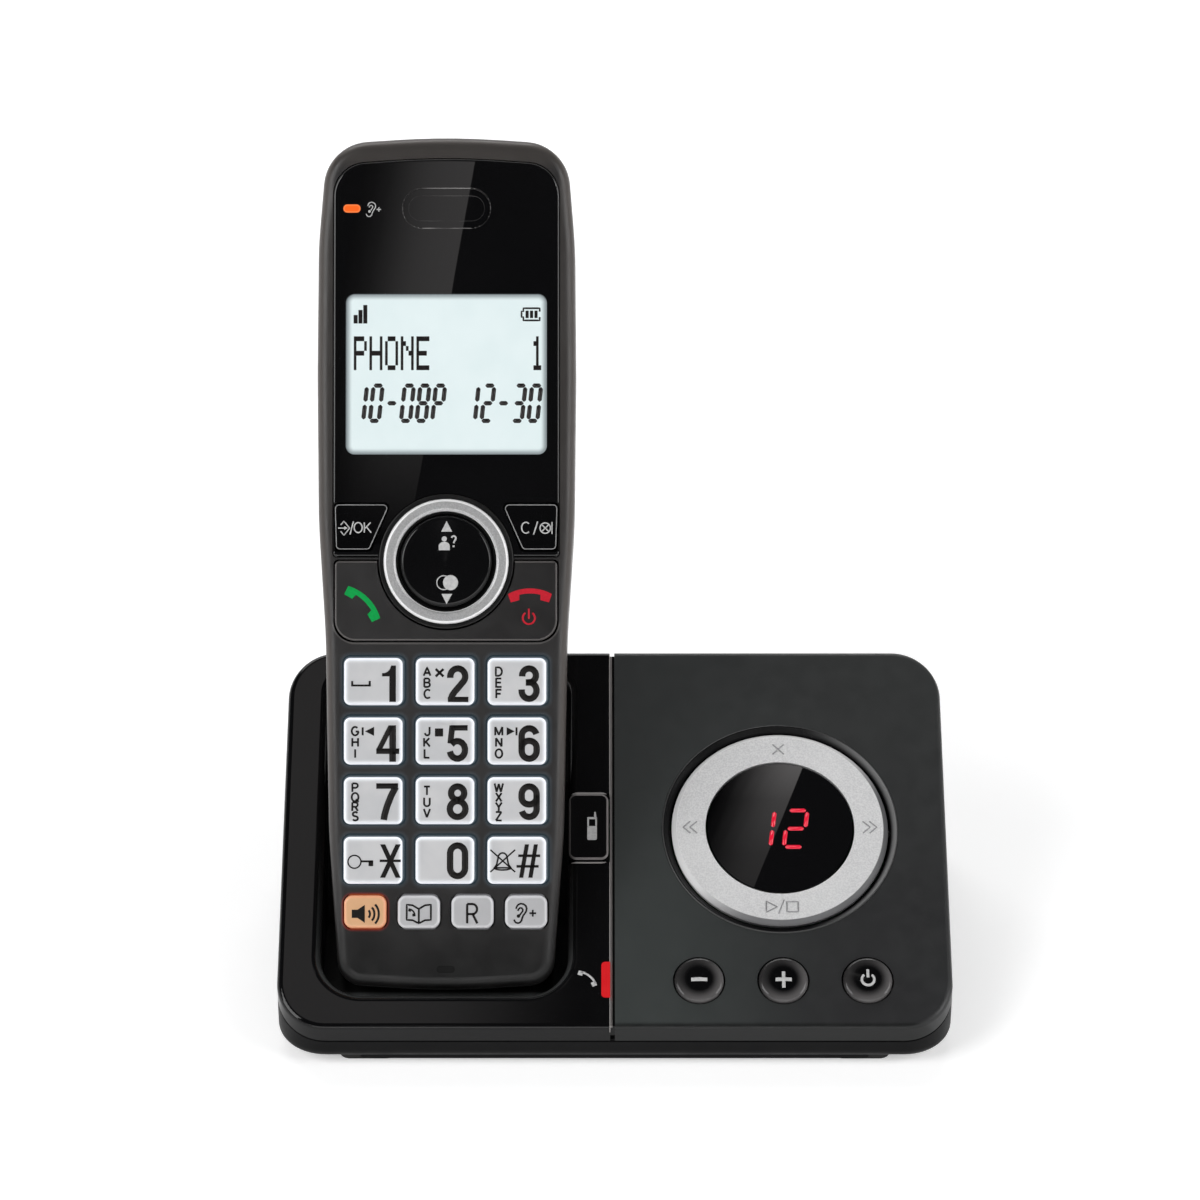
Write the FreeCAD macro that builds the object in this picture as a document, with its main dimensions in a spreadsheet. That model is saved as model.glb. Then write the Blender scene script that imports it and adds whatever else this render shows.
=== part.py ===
"""Cordless telephone and answering machine: a handset that stands in its charging base.

Three frames are used. The base is drawn with its footprint centred on the table, the pieces on
its sloping top with v up the slope and w out of it, and the handset with y along its length and
z out of its front. Each frame is put in its place by the Placement of the pieces drawn in it.
"""
import FreeCAD
import Part
import math
import os
import re

import Sketcher
from FreeCAD import Placement, Rotation, Vector

# Driving dimensions, in millimetres and degrees. The sheet of the document holds them.
SIZES = {
    # Base shell
    "base_width": 130.0,
    "base_depth": 76.0,
    "base_corner": 9.5,
    "front_height": 9.5,
    "slope": 25.0,
    "shell_wall": 2.0,
    "shell_bottom": 1.5,
    "shell_round": 2.2,
    "floor_wall": 2.0,
    "lip_height": 3.1,
    "seam_gap": 0.3,
    "cover_face": 2.2,
    "edge_round": 1.2,
    "split_gap": 0.9,
    "plinth_width": 107.0,
    "plinth_depth": 73.0,
    "plinth_corner": 7.0,
    "plinth_bottom": 0.5,
    "foot_length": 11.0,
    "foot_width": 8.0,
    "foot_corner": 2.0,
    "foot_bury": 0.6,
    "foot_edge": 0.5,
    # Screws that hold the covers
    "screw_radius": 1.3,
    "screw_head_radius": 2.5,
    "screw_head_height": 1.4,
    "screw_bite": 4.0,
    "boss_wall": 1.6,
    "boss_height": 3.0,
    "screw_left_x": 36.0,
    "screw_middle_x": 14.0,
    "screw_right_x": 57.5,
    "screw_back_y": 27.0,
    "screw_front_y": 27.0,
    # Cradle well
    "well_centre": -32.9,
    "well_width": 47.6,
    "well_front": 7.2,
    "well_back": 79.5,
    "well_corner": 8.0,
    "well_top_corner": 6.0,
    "well_wall": 1.6,
    "well_bevel": 1.8,
    "well_floor_round": 1.5,
    "dish_depth": 2.5,
    "dish_round": 3.0,
    "front_play": 1.1,
    "chin_play": 0.4,
    "back_play": 0.6,
    "seat_height": 7.75,
    "seat_gap": 0.3,
    # Running gap and travel of the buttons
    "gap": 0.3,
    "travel": 0.8,
    "flange": 0.9,
    "flange_reach": 0.3,
    # Message ring and its window
    "ring_x": 32.4,
    "ring_v": 43.0,
    "ring_radius": 21.2,
    "ring_inner": 14.6,
    "ring_thickness": 1.7,
    "ring_top": 0.3,
    "ring_bevel": 0.9,
    "window_radius": 14.2,
    "window_thickness": 1.4,
    "window_top": 0.2,
    "skirt_wall": 1.2,
    "bezel_radius": 23.1,
    "bezel_top": 0.2,
    "bezel_depth": 4.0,
    "bezel_round": 0.25,
    "bezel_dish": 1.1,
    "bezel_flange": 1.2,
    "carrier_inner": 15.4,
    "carrier_radius": 20.0,
    "carrier_thickness": 1.3,
    "pivot_depth": 2.75,
    "pivot_radius": 0.7,
    "pivot_play": 0.05,
    "pivot_bite": 0.8,
    "lug_width": 3.0,
    "lug_thickness": 0.85,
    # Buttons of the base
    "button_radius": 4.75,
    "button_pitch": 16.2,
    "button_v": 9.8,
    "button_rise": 1.3,
    "button_shoulder": 0.6,
    "button_round": 0.8,
    "find_left": 9.0,
    "find_right": 1.2,
    "find_low": 35.8,
    "find_high": 50.3,
    "find_rise": 0.6,
    "find_corner": 1.5,
    "light_left": 2.6,
    "light_low": 6.2,
    "light_high": 13.8,
    "light_corner": 0.8,
    # Inside the base
    "board_thickness": 1.6,
    "board_depth": 5.8,
    "board_left": 6.3,
    "board_right": 53.0,
    "board_low": 5.0,
    "board_high": 74.0,
    "spacer_radius": 2.0,
    "spacer_left_x": 4.0,
    "spacer_right_x": 51.5,
    "spacer_low_v": 20.0,
    "spacer_high_v": 70.0,
    "mat_thickness": 0.8,
    "dome_radius": 2.6,
    "module_width": 20.0,
    "module_height": 14.0,
    "speaker_x": 34.0,
    "speaker_y": 6.0,
    "speaker_radius": 16.0,
    "speaker_height": 9.0,
    "magnet_radius": 8.5,
    "rim_height": 3.0,
    "grille_pitch": 4.4,
    "grille_hole": 1.1,
    "line_socket_x": 22.0,
    "line_socket_width": 13.0,
    "line_socket_height": 12.5,
    "line_socket_depth": 13.0,
    "line_plug_width": 9.8,
    "line_plug_height": 6.8,
    "line_plug_depth": 11.0,
    "power_socket_x": 43.0,
    "power_socket_width": 9.0,
    "power_socket_height": 11.0,
    "power_socket_depth": 12.0,
    "power_plug_radius": 2.8,
    "power_pin_radius": 1.0,
    "power_plug_depth": 9.5,
    "socket_inset": 0.4,
    "pin_radius": 1.1,
    "pin_collar": 1.9,
    "pin_spacing": 9.0,
    "pin_y": -14.5,
    "contact_recess": 0.9,
    "contact_thickness": 0.5,
    # Handset shell
    "handset_x": -32.5,
    "lean": 36.0,
    "handset_thickness": 25.0,
    "front_depth": 12.0,
    "handset_length": 170.9,
    "crown_drop": 1.5,
    "foot_half": 20.6,
    "grip_half": 22.6,
    "waist_half": 23.3,
    "shoulder_half": 24.7,
    "head_half": 25.0,
    "brow_half": 24.8,
    "crown_half": 23.2,
    "grip_rise": 36.0,
    "waist_rise": 74.0,
    "shoulder_rise": 96.0,
    "head_rise": 125.0,
    "brow_rise": 150.0,
    "side_round": 150.0,
    "foot_round": 5.0,
    "foot_arch": 1.3,
    "crown_round": 9.0,
    "front_round": 2.5,
    "back_round": 6.0,
    "handset_wall": 1.5,
    "face_thickness": 2.0,
    # Lens and display
    "lens_width": 43.6,
    "lens_low": 89.3,
    "lens_high": 166.65,
    "lens_corner": 0.8,
    "lens_crown_corner": 6.5,
    "lens_thickness": 1.2,
    "lens_fit": 0.15,
    "lens_round": 0.45,
    "screen_width": 38.8,
    "screen_low": 109.07,
    "screen_high": 140.09,
    "screen_corner": 1.7,
    "screen_sink": 0.25,
    "module_border": 2.2,
    "module_depth": 3.0,
    "ear_low": 152.94,
    "ear_high": 160.47,
    "ear_width": 16.75,
    "ear_slot_width": 14.5,
    "ear_slot_height": 4.7,
    "ear_sink": 0.5,
    "light_x": -18.2,
    "light_y": 156.7,
    "light_width": 3.5,
    "light_height": 1.8,
    # Keypad
    "key_width": 11.75,
    "key_height": 9.4,
    "key_corner": 1.3,
    "key_pitch_x": 13.8,
    "key_pitch_y": 11.45,
    "key_first_y": 31.1,
    "key_rise": 0.9,
    "key_round": 0.7,
    "key_depth": 3.2,
    "small_width": 8.1,
    "small_height": 6.3,
    "small_corner": 1.6,
    "small_pitch_x": 10.3,
    "small_y": 21.05,
    "nib_length": 2.6,
    "nib_width": 0.9,
    "nib_rise": 0.35,
    "nav_y": 88.4,
    "nav_radius": 8.8,
    "nav_rise": 1.4,
    "nav_shoulder": 0.8,
    "nav_tilt_room": 0.3,
    "nav_ring_inner": 9.7,
    "nav_ring_outer": 12.05,
    "nav_ring_rise": 0.8,
    "nav_ring_seat": 1.2,
    "nav_ring_round": 0.6,
    "hub_radius": 13.0,
    "hub_rise": 0.35,
    "hub_round": 0.25,
    "call_half": 21.4,
    "call_low": 73.11,
    "call_high": 88.5,
    "call_corner": 4.0,
    "call_rise": 0.5,
    "call_depth": 2.6,
    "soft_outer_top": 21.5,
    "soft_outer_low": 21.25,
    "soft_inner_top": 10.8,
    "soft_inner_low": 14.7,
    "soft_low": 90.6,
    "soft_high": 99.5,
    "soft_corner": 0.9,
    "soft_rise": 0.4,
    "mic_y": 10.0,
    "mic_length": 3.2,
    "mic_width": 1.1,
    # Inside the handset
    "mat_depth": 4.4,
    "mat_width": 38.4,
    "mat_low": 15.0,
    "mat_high": 101.0,
    "phone_board_width": 38.0,
    "phone_board_low": 13.0,
    "phone_board_high": 147.0,
    "earpiece_radius": 9.0,
    "earpiece_height": 3.5,
    "ringer_radius": 11.0,
    "ringer_height": 5.0,
    "ringer_y": 122.0,
    "ringer_slot_length": 13.0,
    "ringer_slot_width": 1.3,
    "ringer_slot_pitch": 3.0,
    "mic_capsule": 2.0,
    "mic_height": 2.2,
    "bay_width": 23.0,
    "bay_low": 29.0,
    "bay_high": 78.5,
    "bay_wall": 1.2,
    "bay_depth": 13.8,
    "cell_radius": 5.25,
    "cell_length": 44.5,
    "cell_nub_radius": 1.9,
    "cell_nub": 0.9,
    "door_width": 30.0,
    "door_low": 27.0,
    "door_high": 82.0,
    "door_corner": 2.5,
    "door_thickness": 1.6,
    "door_seat": 1.4,
    "door_groove": 0.5,
    "phone_screw_x": 13.5,
    "phone_screw_y": 150.0,
    "phone_screw_radius": 1.1,
    "phone_screw_head": 2.0,
    "phone_screw_sink": 1.2,
    "phone_screw_length": 16.0,
    "phone_boss_wall": 1.4,
    "contact_width": 7.0,
    "contact_length": 6.0,
}

TOLERANCE = 1e-4
ALIAS = re.compile(r"[a-z][a-z_0-9]*")
PRODUCTS = []

DOCUMENT = FreeCAD.newDocument("answering_machine")
SHEET = DOCUMENT.addObject("Spreadsheet::Sheet", "Sizes")


def fill_sheet():
    """Write every driving dimension into the sheet, with its name beside it and as its alias."""
    for row, (name, size) in enumerate(SIZES.items(), start=1):
        SHEET.set(f"A{row}", name)
        SHEET.set(f"B{row}", str(size))
        SHEET.setAlias(f"B{row}", name)
    DOCUMENT.recompute()


# Helpers that tie a feature to the sheet


def bound(text):
    """Put the sheet's name before each driving dimension in an expression."""
    return ALIAS.sub(lambda word: "Sizes." + word[0] if word[0] in SIZES else word[0], str(text))


def value(text):
    """The number that an expression of driving dimensions gives now."""
    return float(SHEET.evalExpression(bound(text)))


def bind(item, path, text):
    item.setExpression(path, bound(text))


def new_body(name, several=False):
    body = DOCUMENT.addObject("PartDesign::Body", name)
    body.Label = name
    body.AllowCompound = several
    return body


def new_sketch(body, role="XY_Plane", level="0"):
    """A sketch on one of the body's own origin planes, raised by level along its normal."""
    plane = next(item for item in body.Origin.OriginFeatures if item.Role == role)
    sketch = body.newObject("Sketcher::SketchObject", body.Name + "_sketch")
    sketch.AttachmentSupport = (plane, [""])
    sketch.MapMode = "FlatFace"
    bind(sketch, "AttachmentOffset.Base.z", level)
    return sketch


def turned_sketch(body, y, z, angle):
    """A sketch on a plane through (0, y, z), turned about X by angle."""
    sketch = new_sketch(body)
    sketch.AttachmentOffset = Placement(Vector(), Rotation(Vector(1, 0, 0), value(angle)))
    bind(sketch, "AttachmentOffset.Base.y", y)
    bind(sketch, "AttachmentOffset.Base.z", z)
    bind(sketch, "AttachmentOffset.Rotation.Angle", angle)
    return sketch


def point_rules(shape, point, x, y):
    """Rules that hold a point of a sketch at (x, y), each with the expression that sets it."""
    return [
        (Sketcher.Constraint("DistanceX", -1, 1, shape, point, value(x)), x),
        (Sketcher.Constraint("DistanceY", -1, 1, shape, point, value(y)), y),
    ]


def radius_rule(shape, radius):
    return Sketcher.Constraint("Radius", shape, value(radius)), radius


def hold(sketch, rules):
    """Add all the rules at once, and tie each one that carries a size to the sheet."""
    places = sketch.addConstraint([rule for rule, size in rules])
    for place_in_list, (rule, size) in zip(places, rules):
        if size is not None:
            bind(sketch, f"Constraints[{place_in_list}]", size)


def draw_circle(sketch, radius, x="0", y="0"):
    centre = Vector(value(x), value(y), 0)
    circle = sketch.addGeometry(Part.Circle(centre, Vector(0, 0, 1), value(radius)))
    hold(sketch, [radius_rule(circle, radius)] + point_rules(circle, 3, x, y))


def round_corner(sketch, corner, before, after, arc_points, centre):
    """Join two lines by a tangent arc, whose virtual corner stays where the sizes put it."""
    x, y, radius = corner
    first, last = [point - centre for point in arc_points]
    turns_left = first.cross(last).z > 0
    start, end = (first, last) if turns_left else (last, first)
    circle = Part.Circle(centre, Vector(0, 0, 1), value(radius))
    angles = math.atan2(start.y, start.x), math.atan2(end.y, end.x)
    arc = sketch.addGeometry(Part.ArcOfCircle(circle, *angles))
    apex = sketch.addGeometry(Part.Point(Vector(value(x), value(y), 0)), True)
    near, far = (1, 2) if turns_left else (2, 1)
    return [
        (Sketcher.Constraint("Tangent", before, 2, arc, near), None),
        (Sketcher.Constraint("Tangent", arc, far, after, 1), None),
        radius_rule(arc, radius),
        (Sketcher.Constraint("PointOnObject", apex, 1, before), None),
        (Sketcher.Constraint("PointOnObject", apex, 1, after), None),
    ] + point_rules(apex, 1, x, y)


def draw_outline(sketch, corners):
    """Draw a closed outline through corners (x, y, radius); a radius of "0" leaves it sharp."""
    points = [Vector(value(x), value(y), 0) for x, y, radius in corners]
    enters, leaves, centres = [], [], []
    for index, (x, y, radius) in enumerate(corners):
        point = points[index]
        back = (points[index - 1] - point).normalize()
        ahead = (points[(index + 1) % len(points)] - point).normalize()
        half = back.getAngle(ahead) / 2
        setback = value(radius) / math.tan(half)
        enters.append(point + back * setback)
        leaves.append(point + ahead * setback)
        centres.append(point + (back + ahead).normalize() * (value(radius) / math.sin(half)))
    ends = enters[1:] + enters[:1]
    lines = sketch.addGeometry([Part.LineSegment(*pair) for pair in zip(leaves, ends)])
    rules = []
    for index, corner in enumerate(corners):
        before, after = lines[index - 1], lines[index]
        if corner[2] == "0":
            rules.append((Sketcher.Constraint("Coincident", before, 2, after, 1), None))
            rules += point_rules(after, 1, corner[0], corner[1])
        else:
            arc_points = enters[index], leaves[index]
            rules += round_corner(sketch, corner, before, after, arc_points, centres[index])
    hold(sketch, rules)


def box_outline(left, right, low, high, corner="0"):
    """Corners of a rectangle between four expressions."""
    return [(left, low, corner), (right, low, corner), (right, high, corner), (left, high, corner)]


def rectangle(width, height, corner="0", x="0", y="0"):
    """Corners of a rectangle of the given width and height about (x, y)."""
    sides = [f"{x} - ({width})/2", f"{x} + ({width})/2", f"{y} - ({height})/2", f"{y} + ({height})/2"]
    return box_outline(*sides, corner)


def oval(length, height, x="0", y="0"):
    """Corners of a rectangle whose ends are all but full half circles."""
    return rectangle(length, height, f"({height})*0.49", x, y)


# Helpers that add a feature to a body


def settle(feature):
    """Recompute, and stop at a feature that failed."""
    DOCUMENT.recompute()
    if {"Invalid", "Error"} & set(feature.State):
        raise RuntimeError(f"{feature.Name} failed")
    return feature


def pad(body, sketch, length, centred=False):
    feature = body.newObject("PartDesign::Pad", body.Name + "_pad")
    feature.Profile = sketch
    feature.Midplane = centred
    bind(feature, "Length", length)
    return settle(feature)


def pocket(body, sketch, depth, centred=False):
    """Cut against the sketch's normal, or both ways, and see that the cut takes something away."""
    before = body.Shape.Volume
    feature = body.newObject("PartDesign::Pocket", body.Name + "_pocket")
    feature.Profile = sketch
    feature.Midplane = centred
    bind(feature, "Length", depth)
    settle(feature)
    if not body.Shape.Volume < before - TOLERANCE:
        raise RuntimeError(f"{feature.Name} cuts nothing")
    return feature


def repeat(body, feature, sketch, pitch, count, axis="H_Axis"):
    """Repeat a feature along an axis of its sketch."""
    pattern = body.newObject("PartDesign::LinearPattern", body.Name + "_row")
    pattern.Originals = [feature]
    pattern.Direction = (sketch, [axis])
    pattern.Mode = "Spacing"
    bind(pattern, "Offset", pitch)
    pattern.Occurrences = count
    body.Tip = pattern
    return settle(pattern)


def revolve(body, sketch):
    """Turn a sketch on the XZ plane about the body's Z axis."""
    feature = body.newObject("PartDesign::Revolution", body.Name + "_turn")
    feature.Profile = sketch
    feature.ReferenceAxis = (sketch, ["V_Axis"])
    feature.Angle = 360
    return settle(feature)


def dress(kind, body, size_name, size, chosen):
    """Fillet or chamfer the edges of the body's tip that the test chooses."""
    tip = body.Tip
    edges = [f"Edge{index}" for index, edge in enumerate(tip.Shape.Edges, start=1) if chosen(edge)]
    feature = body.newObject(f"PartDesign::{kind}", f"{body.Name}_{kind.lower()}")
    feature.Base = (tip, edges)
    bind(feature, size_name, size)
    return settle(feature)


def fillet(body, radius, chosen):
    return dress("Fillet", body, "Radius", radius, chosen)


def chamfer(body, size, chosen):
    return dress("Chamfer", body, "Size", size, chosen)


def combine(body, tool, kind):
    """Cut, fuse or intersect the body with another body."""
    feature = body.newObject("PartDesign::Boolean", f"{body.Name}_{kind.lower()}")
    feature.Type = kind
    feature.addObjects([tool])
    settle(feature)


def on_level(level):
    """Choose the edges that lie at one height of the body."""
    height = value(level)

    def chosen(edge):
        box = edge.BoundBox
        return abs(box.ZMin - height) < TOLERANCE and abs(box.ZMax - height) < TOLERANCE

    return chosen


def circle_at(level, radius):
    """Choose the round edge of one radius that lies at one height of the body."""
    level_edge, size = on_level(level), value(radius)

    def chosen(edge):
        return level_edge(edge) and abs(edge.Curve.Radius - size) < TOLERANCE

    return chosen


def plate(name, corners, level, thickness, several=False):
    """A body with one padded outline, from level upwards."""
    body = new_body(name, several)
    sketch = new_sketch(body, level=level)
    draw_outline(sketch, corners)
    pad(body, sketch, thickness)
    return body


def add_plate(body, corners, level, thickness):
    sketch = new_sketch(body, level=level)
    draw_outline(sketch, corners)
    return pad(body, sketch, thickness)


def cut_plate(body, corners, level, depth):
    """Cut an outline from level downwards."""
    sketch = new_sketch(body, level=level)
    draw_outline(sketch, corners)
    return pocket(body, sketch, depth)


def add_discs(body, places, radius, level, height):
    sketch = new_sketch(body, level=level)
    for x, y in places:
        draw_circle(sketch, radius, x, y)
    return pad(body, sketch, height)


def cut_discs(body, places, radius, level, depth):
    sketch = new_sketch(body, level=level)
    for x, y in places:
        draw_circle(sketch, radius, x, y)
    return pocket(body, sketch, depth)


# The three frames

HANDSET_FRONT_Y = (
    "(-base_depth/2 + (well_front + front_play)*cos(slope)"
    " - (front_height + (well_front + front_play)*sin(slope) - seat_height)*tan(lean))"
)
HANDSET_REACH = (
    f"({HANDSET_FRONT_Y} + (handset_length - back_round)*sin(lean)"
    " + (handset_thickness - back_round)*cos(lean) + back_round)"
)
SETBACK = f"(-({HANDSET_REACH} - base_depth/2)/2)"
BACK_HEIGHT = "(front_height + base_depth*tan(slope))"


def place(body, x, y, z, angle):
    """Place a finished piece, and turn it about X."""
    body.Placement = Placement(Vector(), Rotation(Vector(1, 0, 0), value(angle)))
    bind(body, "Placement.Base.x", x)
    bind(body, "Placement.Base.y", y)
    bind(body, "Placement.Base.z", z)
    bind(body, "Placement.Rotation.Angle", angle)
    PRODUCTS.append(body)


def place_in_base(body):
    place(body, "0", SETBACK, "0", "0")


def place_on_slope(body, u="0", v="0"):
    rear = f"{SETBACK} - base_depth/2 + ({v})*cos(slope)"
    place(body, u, rear, f"front_height + ({v})*sin(slope)", "slope")


def place_in_handset(body, x="0", y="0"):
    rear = f"{SETBACK} + {HANDSET_FRONT_Y} + ({y})*sin(lean)"
    place(body, f"handset_x + {x}", rear, f"seat_height + ({y})*cos(lean)", "90 - lean")


def slope_height(y, drop="0"):
    """Height above the table, at y, of a plane below the sloping top by drop."""
    return f"(front_height - ({drop})/cos(slope) + (({y}) + base_depth/2)*tan(slope))"


# Base shell


def base_outline(inset="0"):
    width = f"base_width - 2*({inset})"
    depth = f"base_depth - 2*({inset})"
    return rectangle(width, depth, f"base_corner - ({inset})")


def half_outline(side, inset, split):
    """The base's outline on one side of the split between its covers."""
    outer = f"{side}*(base_width/2 - ({inset}))"
    front = f"-(base_depth/2 - ({inset}))"
    rear = f"base_depth/2 - ({inset})"
    corner = f"base_corner - ({inset})"
    return [(outer, front, corner), (split, front, "0"), (split, rear, "0"), (outer, rear, corner)]


def above_slope(drop):
    """Side view of all that lies above a plane below the sloping top by drop."""
    front, rear = "-base_depth/2 - 1", "base_depth/2 + 1"
    top = f"{BACK_HEIGHT} + 20"
    corners = [(front, slope_height(front, drop)), (rear, slope_height(rear, drop)), (rear, top)]
    return [(y, z, "0") for y, z in corners + [(front, top)]]


def below_slope(drop):
    """Side view of all that lies below a plane below the sloping top by drop."""
    front, rear = "-base_depth/2 - 1", "base_depth/2 + 1"
    corners = [(front, slope_height(front, drop)), (rear, slope_height(rear, drop)), (rear, "-5")]
    return [(y, z, "0") for y, z in corners + [(front, "-5")]]


def cut_side(body, corners):
    """Cut a side view through the whole width of the base."""
    sketch = new_sketch(body, "YZ_Plane")
    draw_outline(sketch, corners)
    pocket(body, sketch, "2*base_width", centred=True)


FLOOR_TOP = "(shell_bottom + floor_wall)"
BOSS_TOP = f"({FLOOR_TOP} + boss_height)"
HEAD_TOP = "(shell_bottom + screw_head_height)"
LEFT_SCREWS = [("-screw_left_x", "screw_back_y"), ("-screw_middle_x", "screw_back_y")]
RIGHT_SCREWS = [("screw_right_x", "screw_back_y"), ("screw_right_x", "-screw_front_y")]
FOOT_X = "(plinth_width/2 - foot_edge - foot_length/2)"
FOOT_Y = "(plinth_depth/2 - foot_edge - foot_width/2)"
FEET = [(f"{x}*{FOOT_X}", f"{y}*{FOOT_Y}") for x in ("-1", "1") for y in ("-1", "1")]
FOOT_TOP = "(plinth_bottom + foot_bury)"


def make_bottom_shell():
    """The tray: wedge-shaped walls, plinth, screw bosses, speaker grille and socket windows."""
    shell = plate("base_bottom_shell", base_outline(), "shell_bottom", f"{BACK_HEIGHT} - shell_bottom")
    cut_side(shell, above_slope("lip_height"))
    fillet(shell, "shell_round", on_level("shell_bottom"))
    combine(shell, make_seam_ring(), "Cut")
    depth = f"{BACK_HEIGHT} - {FLOOR_TOP}"
    cut_plate(shell, base_outline("shell_wall"), BACK_HEIGHT, depth)
    footprint = rectangle("plinth_width", "plinth_depth", "plinth_corner")
    add_plate(shell, footprint, "plinth_bottom", "shell_bottom + floor_wall/2 - plinth_bottom")
    screws = LEFT_SCREWS + RIGHT_SCREWS
    add_discs(shell, screws, "screw_radius + boss_wall", "shell_bottom + floor_wall/2",
              "boss_height + floor_wall/2")
    cut_discs(shell, screws, "screw_radius + pivot_play", f"{BOSS_TOP} + 1", f"{BOSS_TOP} + 1")
    cut_discs(shell, screws, "screw_head_radius + 0.15", HEAD_TOP, HEAD_TOP)
    for x, y in FEET:
        recess = rectangle("foot_length + 0.2", "foot_width + 0.2", "foot_corner + 0.1", x, y)
        cut_plate(shell, recess, FOOT_TOP, FOOT_TOP)
    cut_grille(shell)
    cut_window(shell, "line_socket_x", "line_socket_width", "line_socket_height")
    cut_window(shell, "power_socket_x", "power_socket_width", "power_socket_height")
    place_in_base(shell)


def make_seam_ring():
    """What the shadow gap below the covers takes from the shell's rim."""
    ring = plate("seam_ring", base_outline("-1"), "0", f"{BACK_HEIGHT} + 1")
    cut_plate(ring, base_outline("seam_gap"), f"{BACK_HEIGHT} + 2", f"{BACK_HEIGHT} + 3")
    cut_side(ring, below_slope("lip_height + seam_gap"))
    return ring


def cut_grille(shell):
    """Rings of round holes below the loudspeaker."""
    places = [("speaker_x", "speaker_y")]
    for ring, count in ((1, 6), (2, 12)):
        for index in range(count):
            turn = 360 * index / count
            x = f"speaker_x + {ring}*grille_pitch*cos({turn})"
            places.append((x, f"speaker_y + {ring}*grille_pitch*sin({turn})"))
    cut_discs(shell, places, "grille_hole", f"{FLOOR_TOP} + 1", f"{FLOOR_TOP} + 1")


def cut_window(shell, x, width, height):
    """Cut the back wall for a socket that stands on the floor."""
    sketch = new_sketch(shell, "XZ_Plane", "-(base_depth/2 - shell_wall - 0.5)")
    sides = f"{x} - {width}/2 - 0.1", f"{x} + {width}/2 + 0.1"
    draw_outline(sketch, box_outline(*sides, FLOOR_TOP, f"{FLOOR_TOP} + {height} + 0.1"))
    pocket(shell, sketch, "shell_wall + 1")


def on_slope_plane(edge):
    """Choose the outer edges of a blank cover's sloping face, leaving out the split edge."""
    ends = [edge.valueAt(edge.FirstParameter), edge.valueAt(edge.LastParameter)]
    rises = [point.z - value(slope_height(str(point.y))) for point in ends]
    at_split = all(abs(point.x) < TOLERANCE for point in ends)
    return all(abs(rise) < TOLERANCE for rise in rises) and not at_split


def cover_blank(name, side):
    """One half of the top: a sloping face with a rounded rim and a lip that meets the shell."""
    cover = plate(name, half_outline(side, "0", "0"), "0", f"{BACK_HEIGHT} + 1")
    cut_side(cover, above_slope("0"))
    cut_side(cover, below_slope("lip_height"))
    fillet(cover, "edge_round", on_slope_plane)
    hollow = plate(name + "_hollow", half_outline(side, "shell_wall", f"-({side})"), "0",
                   f"{BACK_HEIGHT} + 1")
    cut_side(hollow, above_slope("cover_face"))
    combine(cover, hollow, "Cut")
    return cover


def add_screw_posts(cover, screws, drop):
    """Hollow posts that run down from the cover to the bosses of the bottom shell."""
    for index, (x, y) in enumerate(screws, start=1):
        post = new_body(f"{cover.Name}_post_{index}")
        height = f"{BACK_HEIGHT} + 5 - {BOSS_TOP}"
        add_discs(post, [(x, y)], "screw_radius + boss_wall", BOSS_TOP, height)
        cut_side(post, above_slope(drop))
        combine(cover, post, "Fuse")
    cut_discs(cover, screws, "screw_radius + pivot_play", f"{BOSS_TOP} + screw_bite + 0.5",
              "screw_bite + 1.5")


# Cradle cover with the well that the handset stands in

WELL_FLOOR = "(seat_height - seat_gap)"
LIP_Y = "(-base_depth/2 + well_front*cos(slope))"


def well_back_y(z, grow="0"):
    """The well's back wall: parallel to the handset's back, and clear of it by back_play."""
    reach = f"(handset_thickness + back_play + {grow})/cos(lean)"
    return f"({HANDSET_FRONT_Y} + {reach} + (({z}) - seat_height)*tan(lean))"


def dish_start(grow="0"):
    """Where the well's back wall meets the floor of the shallow dish behind the handset."""
    lowered = f"(front_height - (dish_depth + {grow})/cos(slope) + base_depth/2*tan(slope))"
    wall = well_back_y(lowered, grow)
    y = f"({wall}/(1 - tan(slope)*tan(lean)))"
    return y, slope_height(y, f"dish_depth + {grow}")


def well_mouth(name, grow="0"):
    """The well's outline on the slope, drawn down square to the slope."""
    body = new_body(name)
    sketch = turned_sketch(body, "-base_depth/2", "front_height", "slope")
    left = f"well_centre - well_width/2 - {grow}"
    right = f"well_centre + well_width/2 + {grow}"
    low, high = f"well_front - {grow}", f"well_back + {grow}"
    corner, top_corner = f"well_corner + {grow}", f"well_top_corner + {grow}"
    draw_outline(sketch, [(left, low, corner), (right, low, corner),
                          (right, high, top_corner), (left, high, top_corner)])
    pad(body, sketch, "3*base_depth", centred=True)
    return body


def well_side(name, corners):
    """A side view of the well, as wide as the base."""
    body = new_body(name)
    sketch = new_sketch(body, "YZ_Plane")
    draw_outline(sketch, corners)
    pad(body, sketch, "2*base_width", centred=True)
    return body


def make_well_space():
    """The room that the handset stands in."""
    ahead, behind = "-base_depth/2", "base_depth/2 + 5"
    start_y, start_z = dish_start()
    corners = [
        (ahead, WELL_FLOOR, "0"),
        (well_back_y(WELL_FLOOR), WELL_FLOOR, "2*well_floor_round"),
        (start_y, start_z, "dish_round"),
        (behind, slope_height(behind, "dish_depth"), "0"),
        (behind, slope_height(behind, "-10"), "0"),
        (ahead, slope_height(ahead, "-10"), "0"),
    ]
    space = well_mouth("well_space")
    combine(space, well_side("well_space_side", corners), "Common")
    return space


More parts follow.
